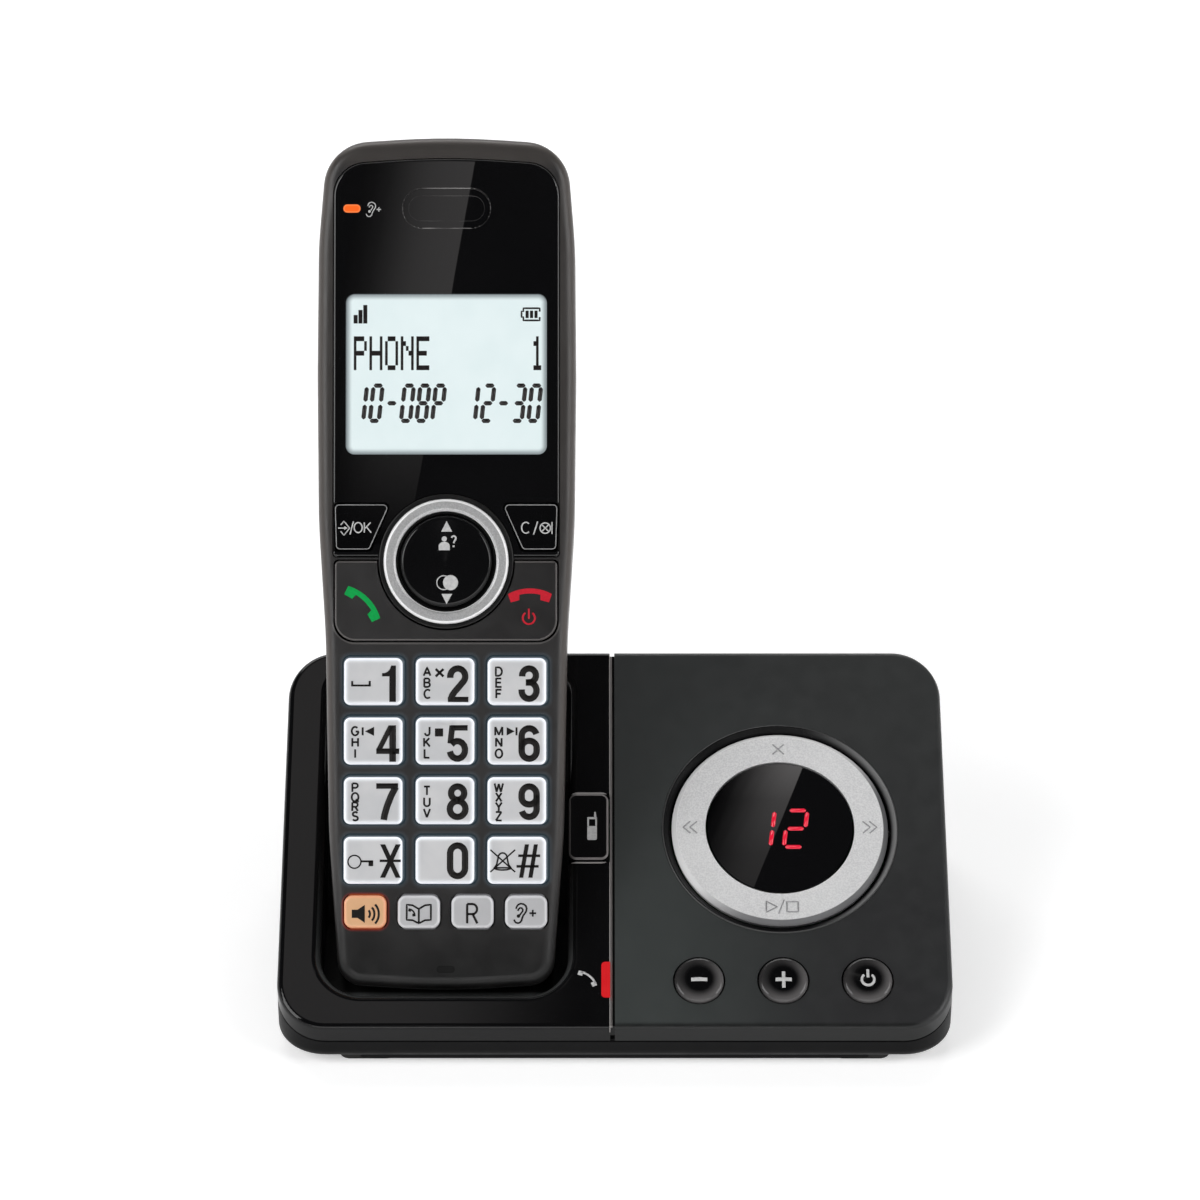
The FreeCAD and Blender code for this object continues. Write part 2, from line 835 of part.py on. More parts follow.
def make_well_walls():
    """The bucket round that room, kept inside the walls of the bottom shell."""
    bottom = f"({WELL_FLOOR} - well_wall)"
    front = "(-base_depth/2 + shell_wall + 0.2)"
    rear = "(base_depth/2 - shell_wall - 0.2)"
    start_y, start_z = dish_start("well_wall")
    corners = [
        (front, bottom, "0"),
        (well_back_y(bottom, "well_wall"), bottom, "2*well_floor_round"),
        (start_y, start_z, "dish_round"),
        (rear, slope_height(rear, "dish_depth + well_wall"), "0"),
        (rear, slope_height(rear, "cover_face/3"), "0"),
        (front, slope_height(front, "cover_face/3"), "0"),
    ]
    walls = well_mouth("well_walls", "well_wall")
    combine(walls, well_side("well_walls_side", corners), "Common")
    return walls


def round_well_mouth(edge):
    """Choose the edges of the well's mouth on the sloping face."""
    middle = edge.valueAt((edge.FirstParameter + edge.LastParameter) / 2)
    centre, half = value("well_centre"), value("well_width") / 2
    rise = middle.z - value(slope_height(str(middle.y)))
    front = value(LIP_Y)
    rear = value("-base_depth/2 + well_back*cos(slope)")
    inside = abs(middle.x - centre) < half + TOLERANCE and front - TOLERANCE < middle.y < rear + TOLERANCE
    return abs(rise) < TOLERANCE and inside


def make_cradle_cover():
    cover = cover_blank("cradle_cover", "-1")
    cut_split_groove(cover)
    combine(cover, make_well_walls(), "Fuse")
    add_screw_posts(cover, LEFT_SCREWS, "dish_depth + well_wall/2")
    combine(cover, make_well_space(), "Cut")
    fillet(cover, "well_bevel", round_well_mouth)
    pins = [(f"handset_x + {side}*pin_spacing", "pin_y") for side in ("-1", "1")]
    cut_discs(cover, pins, "pin_radius + gap", f"{WELL_FLOOR} + 1", "well_wall + 2")
    slot = box_outline("-find_left - 0.7", "-split_gap", "find_low - gap", "find_high + gap")
    cut_slope(cover, slot, "cover_face + 0.2")
    cut_slope(cover, light_outline("0.05"), "cover_face + 2")
    place_in_base(cover)


def cut_slope(cover, corners, depth):
    """Cut a window down through the sloping face."""
    sketch = turned_sketch(cover, "-base_depth/2 - 2*sin(slope)", "front_height + 2*cos(slope)", "slope")
    draw_outline(sketch, corners)
    pocket(cover, sketch, f"2 + {depth}")


def light_outline(grow="0"):
    """The in-use light beside the split, with its outer corners rounded."""
    left, low, high = f"-light_left - {grow}", f"light_low - {grow}", f"light_high + {grow}"
    return [(left, low, "light_corner"), ("-split_gap", low, "0"), ("-split_gap", high, "0"),
            (left, high, "light_corner")]


def cut_split_groove(cover):
    """The fine groove between the covers, which runs over the face, the front and the back."""
    sketch = new_sketch(cover, "YZ_Plane")
    front, rear = "(-base_depth/2 + split_gap)", "(base_depth/2 - split_gap)"
    kept = [(front, "-5"), (rear, "-5"), (rear, slope_height(rear, "split_gap")),
            (front, slope_height(front, "split_gap"))]
    draw_outline(sketch, [(y, z, "0") for y, z in kept])
    draw_outline(sketch, box_outline("-base_depth", "base_depth", "-10", f"{BACK_HEIGHT} + 10"))
    pocket(cover, sketch, "split_gap")


# Control panel with the message ring, its window and the three round buttons

RING = ("ring_x", "ring_v")
BUTTONS = {
    "volume_down_button": "ring_x - button_pitch",
    "volume_up_button": "ring_x",
    "power_button": "ring_x + button_pitch",
}
SPACERS = [(x, v) for x in ("spacer_left_x", "spacer_right_x") for v in ("spacer_low_v", "spacer_high_v")]


def slope_discs(cover, places, radius, lift):
    """A sketch of circles on a plane above the sloping face by lift."""
    rear = f"-base_depth/2 - ({lift})*sin(slope)"
    sketch = turned_sketch(cover, rear, f"front_height + ({lift})*cos(slope)", "slope")
    for u, v in places:
        draw_circle(sketch, radius, u, v)
    return sketch


def make_panel_cover():
    cover = cover_blank("control_panel_cover", "1")
    pocket(cover, slope_discs(cover, [RING], "bezel_radius + pivot_play", "2"), "cover_face + 3")
    holes = [(u, "button_v") for u in BUTTONS.values()]
    pocket(cover, slope_discs(cover, holes, "button_radius + gap", "2"), "cover_face + 3")
    pad(cover, slope_discs(cover, SPACERS, "spacer_radius", "-board_depth"),
        "board_depth - cover_face/2")
    add_screw_posts(cover, RIGHT_SCREWS, "cover_face/2")
    place_in_base(cover)


def make_ring_surround():
    """The bright bezel round the message ring, with the pivot holes of the ring's carrier."""
    bezel = new_body("ring_surround")
    add_discs(bezel, [RING], "bezel_radius", "-bezel_depth", "bezel_depth + bezel_top")
    flange_level = "-cover_face - bezel_flange"
    add_discs(bezel, [RING], "bezel_radius + bezel_flange", flange_level, "bezel_flange")
    cut_discs(bezel, [RING], "ring_radius + gap + 0.1", "bezel_top + 1", "bezel_depth + bezel_top + 2")
    fillet(bezel, "bezel_round", circle_at("bezel_top", "bezel_radius"))
    chamfer(bezel, "bezel_dish", circle_at("bezel_top", "ring_radius + gap + 0.1"))
    hole = new_sketch(bezel, "YZ_Plane", "ring_x")
    draw_circle(hole, "pivot_radius + pivot_play", "ring_v", "-pivot_depth")
    pocket(bezel, hole, "2*(ring_radius + gap + 0.1 + pivot_bite + 0.2)", centred=True)
    place_on_slope(bezel)


def make_ring_carrier():
    """The inner gimbal: two pivots reach out to the bezel, two to the lugs of the ring."""
    carrier = new_body("ring_carrier")
    add_discs(carrier, [RING], "carrier_radius", "-pivot_depth - carrier_thickness/2", "carrier_thickness")
    across = new_sketch(carrier, "YZ_Plane", "ring_x")
    draw_circle(across, "pivot_radius", "ring_v", "-pivot_depth")
    pad(carrier, across, "2*(ring_radius + gap + 0.1 + pivot_bite)", centred=True)
    along = new_sketch(carrier, "XZ_Plane", "-ring_v")
    draw_circle(along, "pivot_radius", "ring_x", "-pivot_depth")
    pad(carrier, along, "2*(ring_radius - 0.3)", centred=True)
    cut_discs(carrier, [RING], "carrier_inner", "0", "2*pivot_depth")
    place_on_slope(carrier)


def make_control_ring():
    """The silver ring that tips four ways, with two lugs that hang on the carrier's pivots."""
    ring = new_body("control_ring")
    add_discs(ring, [RING], "ring_radius", "ring_top - ring_thickness", "ring_thickness")
    chamfer(ring, "ring_bevel", on_level("ring_top"))
    cut_discs(ring, [RING], "ring_inner", "ring_top + 1", "ring_thickness + 2")
    for side in ("-1", "1"):
        middle = f"ring_v + {side}*(ring_radius - 0.1 - lug_thickness/2)"
        lug = rectangle("lug_width", "lug_thickness", "0", "ring_x", middle)
        add_plate(ring, lug, "-pivot_depth - 1", "pivot_depth + 1 + ring_top - ring_thickness/2 - 0.6")
    hole = new_sketch(ring, "XZ_Plane", "-ring_v")
    draw_circle(hole, "pivot_radius + pivot_play", "ring_x", "-pivot_depth")
    pocket(ring, hole, "2*ring_radius + 2", centred=True)
    place_on_slope(ring)


def make_display_window():
    """The dark window in the ring, on a skirt that stands on the circuit board."""
    window = new_body("display_window")
    add_discs(window, [RING], "window_radius", "window_top - window_thickness", "window_thickness")
    add_discs(window, [RING], "window_radius - 0.3", "-board_depth", "board_depth - window_thickness/2")
    cut_discs(window, [RING], "window_radius - 0.3 - skirt_wall", "window_top - window_thickness",
              "board_depth")
    place_on_slope(window)


def make_display_module():
    level = "-board_depth"
    height = "board_depth - window_thickness + window_top - 0.2"
    module = plate("led_display_module", rectangle("module_width", "module_height", "0", *RING),
                   level, height)
    place_on_slope(module)


def make_round_button(name, u):
    """A domed button, held in by the flange below the panel."""
    button = new_body(name)
    sketch = new_sketch(button, "XZ_Plane")
    bottom = "-(cover_face + gap + flange)"
    draw_outline(sketch, [
        ("0", bottom, "0"),
        ("button_radius + gap + flange_reach", bottom, "0"),
        ("button_radius + gap + flange_reach", "-(cover_face + gap)", "0"),
        ("button_radius", "-(cover_face + gap)", "0"),
        ("button_radius", "button_shoulder", "button_round"),
        ("0", "button_rise", "0"),
    ])
    revolve(button, sketch)
    place_on_slope(button, u, "button_v")


def make_find_button():
    """The handset-finder key, which wraps over the shoulder of the well."""
    button = plate("find_handset_button",
                   box_outline("-find_left", "-find_right", "find_low", "find_high", "find_corner"),
                   "-cover_face + travel + 0.2", "find_rise + cover_face - travel - 0.2")
    fillet(button, "gap", on_level("find_rise"))
    inner = "(well_centre + well_width/2 + well_wall + gap)"
    stem = box_outline(inner, "-find_right", "find_low", "find_high")
    add_plate(button, stem, "-(cover_face + gap + flange)", "cover_face + gap + flange")
    rim = box_outline(inner, "-find_right", "find_low - gap - flange_reach", "find_high + gap + flange_reach")
    add_plate(button, rim, "-(cover_face + gap + flange)", "flange")
    place_on_slope(button)


def make_in_use_light():
    light = plate("in_use_light", light_outline(), "-board_depth", "board_depth + 0.1")
    place_on_slope(light)


def make_base_board():
    board = plate("base_circuit_board",
                  box_outline("-board_left", "board_right", "board_low", "board_high", "1"),
                  "-board_depth - board_thickness", "board_thickness")
    place_on_slope(board)


def make_button_mats():
    """Two rubber mats with one dome under each button of the base."""
    mats = new_body("base_button_membrane", several=True)
    strip = rectangle("2*button_pitch + 12", "9", "2", "ring_x", "button_v")
    add_plate(mats, strip, "-board_depth", "mat_thickness")
    places = [(u, "button_v") for u in BUTTONS.values()]
    lift = "board_depth - cover_face - gap - flange - travel - gap"
    add_discs(mats, places, "dome_radius", "-board_depth", lift)
    middle_u, middle_v = "(-find_right - 2.6)", "((find_low + find_high)/2)"
    add_plate(mats, rectangle("4.8", "9", "1", middle_u, middle_v), "-board_depth", "mat_thickness")
    add_discs(mats, [(middle_u, middle_v)], "2", "-board_depth", lift)
    place_on_slope(mats)


def make_base_loudspeaker():
    """A cone loudspeaker, face down on the grille, with its magnet on top."""
    speaker = new_body("base_loudspeaker")
    spot = [("speaker_x", "speaker_y")]
    add_discs(speaker, spot, "speaker_radius", FLOOR_TOP, "rim_height")
    add_discs(speaker, spot, "magnet_radius", FLOOR_TOP, "speaker_height")
    cut_discs(speaker, spot, "speaker_radius - 3", f"{FLOOR_TOP} + 1", "2")
    place_in_base(speaker)


def socket_block(name, x, width, height, depth):
    """A socket's housing, which stands on the floor with its mouth in the back wall."""
    socket = new_body(name)
    sketch = new_sketch(socket, "XZ_Plane", "-(base_depth/2 - socket_inset)")
    sides = f"{x} - {width}/2", f"{x} + {width}/2"
    draw_outline(sketch, box_outline(*sides, FLOOR_TOP, f"{FLOOR_TOP} + {height}"))
    pad(socket, sketch, depth)
    return socket


def make_phone_jack():
    """The line socket: a square mouth with the slot for the plug's latch below it."""
    socket = socket_block("phone_jack", "line_socket_x", "line_socket_width", "line_socket_height",
                          "line_socket_depth")
    mouth = new_sketch(socket, "XZ_Plane", "-(base_depth/2 - socket_inset - line_plug_depth)")
    middle = f"{FLOOR_TOP} + line_socket_height*0.58"
    draw_outline(mouth, rectangle("line_plug_width", "line_plug_height", "0", "line_socket_x", middle))
    pocket(socket, mouth, "line_plug_depth + 1")
    latch = new_sketch(socket, "XZ_Plane", "-(base_depth/2 - socket_inset - line_plug_depth*0.7)")
    low = f"{middle} - line_plug_height/2 - 1.8"
    sides = "line_socket_x - 2", "line_socket_x + 2"
    draw_outline(latch, box_outline(*sides, low, f"{low} + 3"))
    pocket(socket, latch, "line_plug_depth")
    place_in_base(socket)


def make_power_jack():
    """The power socket: a round mouth with a centre pin."""
    socket = socket_block("power_jack", "power_socket_x", "power_socket_width", "power_socket_height",
                          "power_socket_depth")
    mouth = new_sketch(socket, "XZ_Plane", "-(base_depth/2 - socket_inset - power_plug_depth)")
    middle = f"{FLOOR_TOP} + power_socket_height/2"
    draw_circle(mouth, "power_plug_radius", "power_socket_x", middle)
    draw_circle(mouth, "power_pin_radius", "power_socket_x", middle)
    pocket(socket, mouth, "power_plug_depth + 1")
    place_in_base(socket)


def make_rubber_feet():
    feet = new_body("rubber_feet", several=True)
    sketch = new_sketch(feet)
    for x, y in FEET:
        draw_outline(sketch, rectangle("foot_length", "foot_width", "foot_corner", x, y))
    pad(feet, sketch, FOOT_TOP)
    place_in_base(feet)


def make_base_screws():
    """Four self-tapping screws, with their heads sunk in the bottom."""
    screws = new_body("base_screws", several=True)
    spots = LEFT_SCREWS + RIGHT_SCREWS
    add_discs(screws, spots, "screw_head_radius", "shell_bottom", "screw_head_height")
    add_discs(screws, spots, "screw_radius", HEAD_TOP, f"{BOSS_TOP} + screw_bite - {HEAD_TOP}")
    cut_discs(screws, spots, "screw_radius*0.6", "shell_bottom + screw_head_height/2", "screw_head_height")
    place_in_base(screws)


def make_charging_pin(name, side):
    """A sprung charging pin: its tip stands in the recess below the handset's contact."""
    pin = new_body(name)
    spot = [(f"handset_x + {side}*pin_spacing", "pin_y")]
    collar = f"({WELL_FLOOR} - well_wall - gap - 1)"
    tip = "(seat_height + contact_recess - contact_thickness - gap)"
    add_discs(pin, spot, "pin_radius", collar, f"{tip} - {collar}")
    add_discs(pin, spot, "pin_collar", collar, "1")
    fillet(pin, "pin_radius*0.6", on_level(tip))
    place_in_base(pin)


# Handset shell


FOOT_LIFT = (
    "((front_height + (well_front + front_play)*sin(slope) - seat_height)/cos(lean)"
    " + (chin_play - front_play)/sin(lean + slope))"
)


def handset_outline(inset="0"):
    """The handset's front view: arched chin, slim grip, wide head and a gently arched crown."""
    stations = [
        ("foot_half", f"{FOOT_LIFT} + foot_arch + {inset}", "foot_round"),
        ("grip_half", "grip_rise", "side_round"),
        ("waist_half", "waist_rise", "side_round"),
        ("shoulder_half", "shoulder_rise", "side_round"),
        ("head_half", "head_rise", "side_round"),
        ("brow_half", "brow_rise", "side_round/2"),
        ("crown_half", f"handset_length - crown_drop - {inset}", f"crown_round - {inset}"),
    ]
    right = [(f"({half} - {inset})", y, radius) for half, y, radius in stations]
    left = [(f"-{x}", y, radius) for x, y, radius in reversed(right)]
    chin = ("0", f"{FOOT_LIFT} + {inset}", "side_round")
    return [chin] + right + [("0", f"handset_length - {inset}", "side_round")] + left


def below_foot(inset="0"):
    """Side view of all that lies below the handset's foot, which is level when it stands."""
    shift = f"({inset})/cos(lean)"
    return [
        (f"{shift} - 3*tan(lean)", "3", "0"),
        ("-10", "3", "0"),
        ("-10", "-2*handset_thickness", "0"),
        (f"{shift} + 2*handset_thickness*tan(lean)", "-2*handset_thickness", "0"),
    ]


def cut_handset_side(body, corners):
    """Cut a side view through the whole width of the handset."""
    sketch = new_sketch(body, "YZ_Plane")
    draw_outline(sketch, corners)
    pocket(body, sketch, "4*head_half", centred=True)


SPLIT = "-front_depth"
KEY_COLUMNS = {"left": "-key_pitch_x", "middle": "0", "right": "key_pitch_x"}
SMALL_KEYS = {
    "speaker_key": "-1.5*small_pitch_x",
    "phonebook_key": "-0.5*small_pitch_x",
    "recall_key": "0.5*small_pitch_x",
    "boost_key": "1.5*small_pitch_x",
}


def lens_outline(clearance="0"):
    half, high = f"(lens_width/2 + {clearance})", f"lens_high + {clearance}"
    low = f"lens_low - {clearance}"
    return [
        (f"-{half}", low, "lens_corner"),
        (half, low, "lens_corner"),
        (half, f"{high} - crown_drop", "lens_crown_corner"),
        ("0", high, "side_round"),
        (f"-{half}", f"{high} - crown_drop", "lens_crown_corner"),
    ]


def screen_outline():
    return box_outline("-screen_width/2", "screen_width/2", "screen_low", "screen_high", "screen_corner")


def soft_key_outline(side, grow="0", beyond="0"):
    """A four-cornered soft key that leans towards the round pad."""
    return [
        (f"{side}*(soft_outer_top + {grow} + {beyond})", f"soft_high + {grow}", "soft_corner"),
        (f"{side}*(soft_inner_top - {grow})", f"soft_high + {grow}", "soft_corner"),
        (f"{side}*(soft_inner_low - {grow})", f"soft_low - {grow}", "soft_corner"),
        (f"{side}*(soft_outer_low + {grow} + {beyond})", f"soft_low - {grow}", "soft_corner"),
    ]


def call_key_outline(grow="0"):
    return [
        (f"-call_half - {grow}", f"call_low - {grow}", "call_corner"),
        (f"call_half + {grow}", f"call_low - {grow}", "call_corner"),
        (f"call_half + {grow}", f"call_high + {grow}", "soft_corner"),
        (f"-call_half - {grow}", f"call_high + {grow}", "soft_corner"),
    ]


def cut_hub(bar, grow="0"):
    """Hollow the call and end bar for the hub of the round pad."""
    cut_discs(bar, [("0", "nav_y")], f"hub_radius + gap - {grow}", "5", "30")


def make_front_housing():
    housing = plate("handset_front_housing", handset_outline(), SPLIT, "front_depth")
    fillet(housing, "front_round", on_level("0"))
    cut_handset_side(housing, below_foot())
    cavity = plate("front_cavity", handset_outline("handset_wall"), f"{SPLIT} - 1",
                   "front_depth + 1 - face_thickness")
    cut_handset_side(cavity, below_foot("handset_wall"))
    combine(housing, cavity, "Cut")
    cut_display(housing)
    cut_keys(housing)
    bosses = [(f"{side}*phone_screw_x", "phone_screw_y") for side in ("-1", "1")]
    add_discs(housing, bosses, "phone_screw_radius + phone_boss_wall", SPLIT,
              "front_depth - (face_thickness + lens_thickness)/2")
    cut_discs(housing, bosses, "phone_screw_radius + pivot_play",
              "-handset_thickness + phone_screw_sink + phone_screw_length + 0.5", "front_depth")
    place_in_handset(housing)


def cut_display(housing):
    """The recess for the lens, and the windows behind it."""
    cut_plate(housing, lens_outline("lens_fit"), "0", "lens_thickness")
    cut_plate(housing, screen_outline(), "0", "2*face_thickness")
    cut_plate(housing, oval("ear_slot_width", "ear_slot_height", "0", "(ear_low + ear_high)/2"), "0",
              "2*face_thickness")
    light = rectangle("light_width + 0.1", "light_height + 0.1", "light_height*0.3", "light_x", "light_y")
    cut_plate(housing, light, "0", "2*face_thickness")


def cut_key_grid(housing, kind, columns, rows, x, y):
    """Cut the opening of the lower left key of a grid, and repeat it in columns and rows."""
    sketch = new_sketch(housing)
    draw_outline(sketch, rectangle(f"{kind}_width + 2*gap", f"{kind}_height + 2*gap",
                                   f"{kind}_corner + gap", x, y))
    opening = pocket(housing, sketch, "2*face_thickness")
    grid = repeat(housing, opening, sketch, f"{kind}_pitch_x", columns)
    if rows > 1:
        grid.Direction2 = (sketch, ["V_Axis"])
        grid.Mode2 = "Spacing"
        bind(grid, "Offset2", f"{kind}_pitch_y")
        grid.Occurrences2 = rows
        settle(grid)


def cut_keys(housing):
    """Openings for the keys, each with a running gap, the hub of the round pad and the mouthpiece."""
    cut_key_grid(housing, "key", 3, 4, KEY_COLUMNS["left"], "key_first_y")
    cut_key_grid(housing, "small", 4, 1, SMALL_KEYS["speaker_key"], "small_y")
    for side in ("-1", "1"):
        cut_plate(housing, soft_key_outline(side, "gap"), "0", "2*face_thickness")
    opening = plate("call_key_opening", call_key_outline("gap"), "-2*face_thickness", "3*face_thickness")
    cut_hub(opening, "gap")
    combine(housing, opening, "Cut")
    centre = [("0", "nav_y")]
    add_discs(housing, centre, "hub_radius", "-face_thickness", "face_thickness + hub_rise")
    fillet(housing, "hub_round", on_level("hub_rise"))
    cut_discs(housing, centre, "nav_ring_outer + 0.1", "1", "1 + nav_ring_seat")
    cut_discs(housing, centre, "nav_radius + 0.5", "1", "1 + 2*face_thickness")
    cut_plate(housing, oval("mic_length", "mic_width", "0", "mic_y"), "0", "2*face_thickness")


DOOR_FLOOR = "(-handset_thickness + door_thickness + 0.1)"
BAY_FLOOR = "(-handset_thickness + bay_depth)"


def make_rear_housing():
    """The back: curved rim, battery bay with a seat for its door, ringer slots and screw bosses."""
    housing = plate("handset_rear_housing", handset_outline(), "-handset_thickness",
                    "handset_thickness - front_depth")
    fillet(housing, "back_round", on_level("-handset_thickness"))
    cut_handset_side(housing, below_foot())
    cavity_outline = handset_outline("handset_wall")
    cavity = plate("rear_cavity", cavity_outline, "-handset_thickness + handset_wall",
                   "handset_thickness - front_depth - handset_wall + 1")
    fillet(cavity, "back_round - handset_wall", on_level("-handset_thickness + handset_wall"))
    cut_handset_side(cavity, below_foot("handset_wall"))
    combine(housing, cavity, "Cut")
    add_battery_bay(housing)
    bosses = [(f"{side}*phone_screw_x", "phone_screw_y") for side in ("-1", "1")]
    add_discs(housing, bosses, "phone_screw_radius + phone_boss_wall",
              "-handset_thickness + handset_wall/2",
              "handset_thickness - front_depth - handset_wall/2")
    cut_discs(housing, bosses, "phone_screw_radius + pivot_play", SPLIT, "handset_thickness")
    cut_discs(housing, bosses, "phone_screw_head + 0.15", "-handset_thickness + phone_screw_sink",
              "2*phone_screw_sink")
    cut_ringer_slots(housing)
    cut_contact_recesses(housing)
    place_in_handset(housing)


def add_battery_bay(housing):
    """A seat for the sliding door, and the tray for the two cells above it."""
    seat = box_outline("-door_width/2 - 2", "door_width/2 + 2", "door_low - 4", "door_high + 2")
    add_plate(housing, seat, "-handset_thickness + handset_wall/2",
              "door_thickness + door_seat - handset_wall/2")
    tray = box_outline("-bay_width/2 - bay_wall", "bay_width/2 + bay_wall", "bay_low - bay_wall",
                       "bay_high + bay_wall")
    add_plate(housing, tray, "-handset_thickness + handset_wall/2",
              "bay_depth + bay_wall - handset_wall/2")
    bay = box_outline("-bay_width/2", "bay_width/2", "bay_low", "bay_high", "0.6")
    cut_plate(housing, bay, BAY_FLOOR, "2*bay_depth")
    recess = box_outline("-door_width/2", "door_width/2", "0", "door_high + gap", "door_corner")
    cut_plate(housing, recess, DOOR_FLOOR, "handset_thickness")


def cut_ringer_slots(housing):
    sketch = new_sketch(housing, level="-handset_thickness + 2*handset_wall")
    for step in range(-2, 3):
        y = f"ringer_y + {step}*ringer_slot_pitch"
        draw_outline(sketch, oval("ringer_slot_length", "ringer_slot_width", "0", y))
    pocket(housing, sketch, "3*handset_wall")


def foot_sketch(body, rise):
    """A sketch above the handset's level foot by rise, facing up when it stands."""
    return turned_sketch(body, f"({rise})*cos(lean)", f"({rise})*sin(lean)", "lean - 90")


def contact_places():
    """The charging contacts, above the pins of the base."""
    along = f"pin_y - {HANDSET_FRONT_Y}"
    return [(f"{side}*pin_spacing", along) for side in ("-1", "1")]


def cut_contact_recesses(housing):
    """Each charging contact lies in a recess of the foot, above its pin."""
    for x, y in contact_places():
        sketch = foot_sketch(housing, "contact_recess")
        draw_outline(sketch, rectangle("contact_width + 0.1", "contact_length + 0.1", "0", x, y))
        pocket(housing, sketch, "2*contact_recess")


def make_charge_contacts():
    contacts = new_body("handset_charge_contacts", several=True)
    for x, y in contact_places():
        sketch = foot_sketch(contacts, "contact_recess - contact_thickness")
        draw_outline(sketch, rectangle("contact_width", "contact_length", "0", x, y))
        pad(contacts, sketch, "contact_thickness")
    place_in_handset(contacts)


def make_battery_door():
    """The door slides down the back, over the step below it."""
    door = plate("battery_door",
                 box_outline("-door_width/2 + gap", "door_width/2 - gap", "door_low", "door_high",
                             "door_corner - gap"),
                 "-handset_thickness", "door_thickness")
    sketch = new_sketch(door, level="-handset_thickness + door_groove")
    for step in range(4):
        y = f"door_low + 5 + {step}*2"
        draw_outline(sketch, rectangle("door_width/2", "0.8", "0", "0", y))
    pocket(door, sketch, "2*door_groove")
    place_in_handset(door)


# Pieces behind the handset's face


def make_lens():
    """The dark lens round the display, the soft keys and the hub, with the earpiece's sunken oval."""
    lens = plate("handset_lens", lens_outline(), "-lens_thickness", "lens_thickness")
    fillet(lens, "lens_round", on_level("0"))
    cut_discs(lens, [("0", "nav_y")], "hub_radius + lens_fit", "1", "3*lens_thickness")
    for side in ("-1", "1"):
        cut_plate(lens, soft_key_outline(side, "gap", "1"), "1", "3*lens_thickness")
    cut_plate(lens, screen_outline(), "1", "3*lens_thickness")
    middle = "(ear_low + ear_high)/2"
    cut_plate(lens, oval("ear_width", "ear_high - ear_low", "0", middle), "0", "ear_sink/2")
    cut_plate(lens, oval("ear_slot_width", "ear_slot_height", "0", middle), "0", "ear_sink")
    sketch = new_sketch(lens)
    for step in (-1, 0, 1):
        y = f"{middle} + {step}*1.4"
        draw_outline(sketch, oval("ear_slot_width*0.7", "0.6", "0", y))
    pocket(lens, sketch, "2*lens_thickness")
    light = rectangle("light_width + 0.1", "light_height + 0.1", "light_height*0.3", "light_x", "light_y")
    cut_plate(lens, light, "0", "2*lens_thickness")
    place_in_handset(lens)


def make_lcd_module():
    """The display: a glass a little larger than its window, with a raised step that fills it."""
    module = plate("lcd_module",
                   box_outline("-screen_width/2 - module_border", "screen_width/2 + module_border",
                               "screen_low - module_border", "screen_high + module_border"),
                   "-face_thickness - 0.1 - module_depth", "module_depth")
    step = box_outline("-screen_width/2 + 0.1", "screen_width/2 - 0.1", "screen_low + 0.1",
                       "screen_high - 0.1", "screen_corner")
    add_plate(module, step, "-face_thickness - 0.2", "face_thickness + 0.2 - screen_sink")
    place_in_handset(module)


def make_boost_light():
    light = plate("boost_light", rectangle("light_width", "light_height", "light_height*0.3",
                                           "light_x", "light_y"),
                  "-face_thickness - 1", "face_thickness + 1")
    place_in_handset(light)


def make_nav_ring():
    """The silver ring round the pad, with a rounded top."""
    ring = new_body("nav_ring")
    sketch = new_sketch(ring, "XZ_Plane")
    draw_outline(sketch, [
        ("nav_ring_inner", "-nav_ring_seat", "0"),
        ("nav_ring_outer", "-nav_ring_seat", "0"),
        ("nav_ring_outer", "nav_ring_rise", "nav_ring_round"),
        ("nav_ring_inner", "nav_ring_rise", "nav_ring_round"),
    ])
    revolve(ring, sketch)
    place_in_handset(ring, "0", "nav_y")


def make_nav_key():
    """The round rocking pad, held by its flange below the face."""
    key = new_body("nav_key")
    sketch = new_sketch(key, "XZ_Plane")
    bottom, under = "-(key_depth + nav_tilt_room)", "-(face_thickness + gap + nav_tilt_room)"
    draw_outline(sketch, [
        ("0", bottom, "0"),
        ("nav_radius + 1", bottom, "0"),
        ("nav_radius + 1", under, "0"),
        ("nav_radius", under, "0"),
        ("nav_radius", "nav_shoulder", "button_round"),
        ("0", "nav_rise", "0"),
    ])
    revolve(key, sketch)
    place_in_handset(key, "0", "nav_y")


def make_key(name, x, y, width, height, corner, reach="flange_reach + gap/2", nib=False):
    """A keypad key: cap with a rounded rim, and the flange that keeps it in."""
    key = plate(name, rectangle(width, height, corner), "-key_depth", "key_depth + key_rise")
    fillet(key, "key_round", on_level("key_rise"))
    rim = rectangle(f"{width} + 2*({reach})", f"{height} + 2*flange_reach + gap", corner)
    add_plate(key, rim, "-key_depth", "key_depth - face_thickness - gap")
    if nib:
        add_plate(key, rectangle("nib_length", "nib_width", "nib_width*0.45", "0", f"{height}/2 - 1.1"),
                  "0", "key_rise + nib_rise")
    place_in_handset(key, x, y)


def make_soft_key(name, side):
    key = plate(name, soft_key_outline(side), "-key_depth", "key_depth + soft_rise")
    fillet(key, "soft_rise*0.7", on_level("soft_rise"))
    place_in_handset(key)


def make_call_end_key():
    bar = plate("call_end_key", call_key_outline(), "-call_depth", "call_depth + call_rise")
    fillet(bar, "call_rise*0.7", on_level("call_rise"))
    cut_hub(bar)
    place_in_handset(bar)


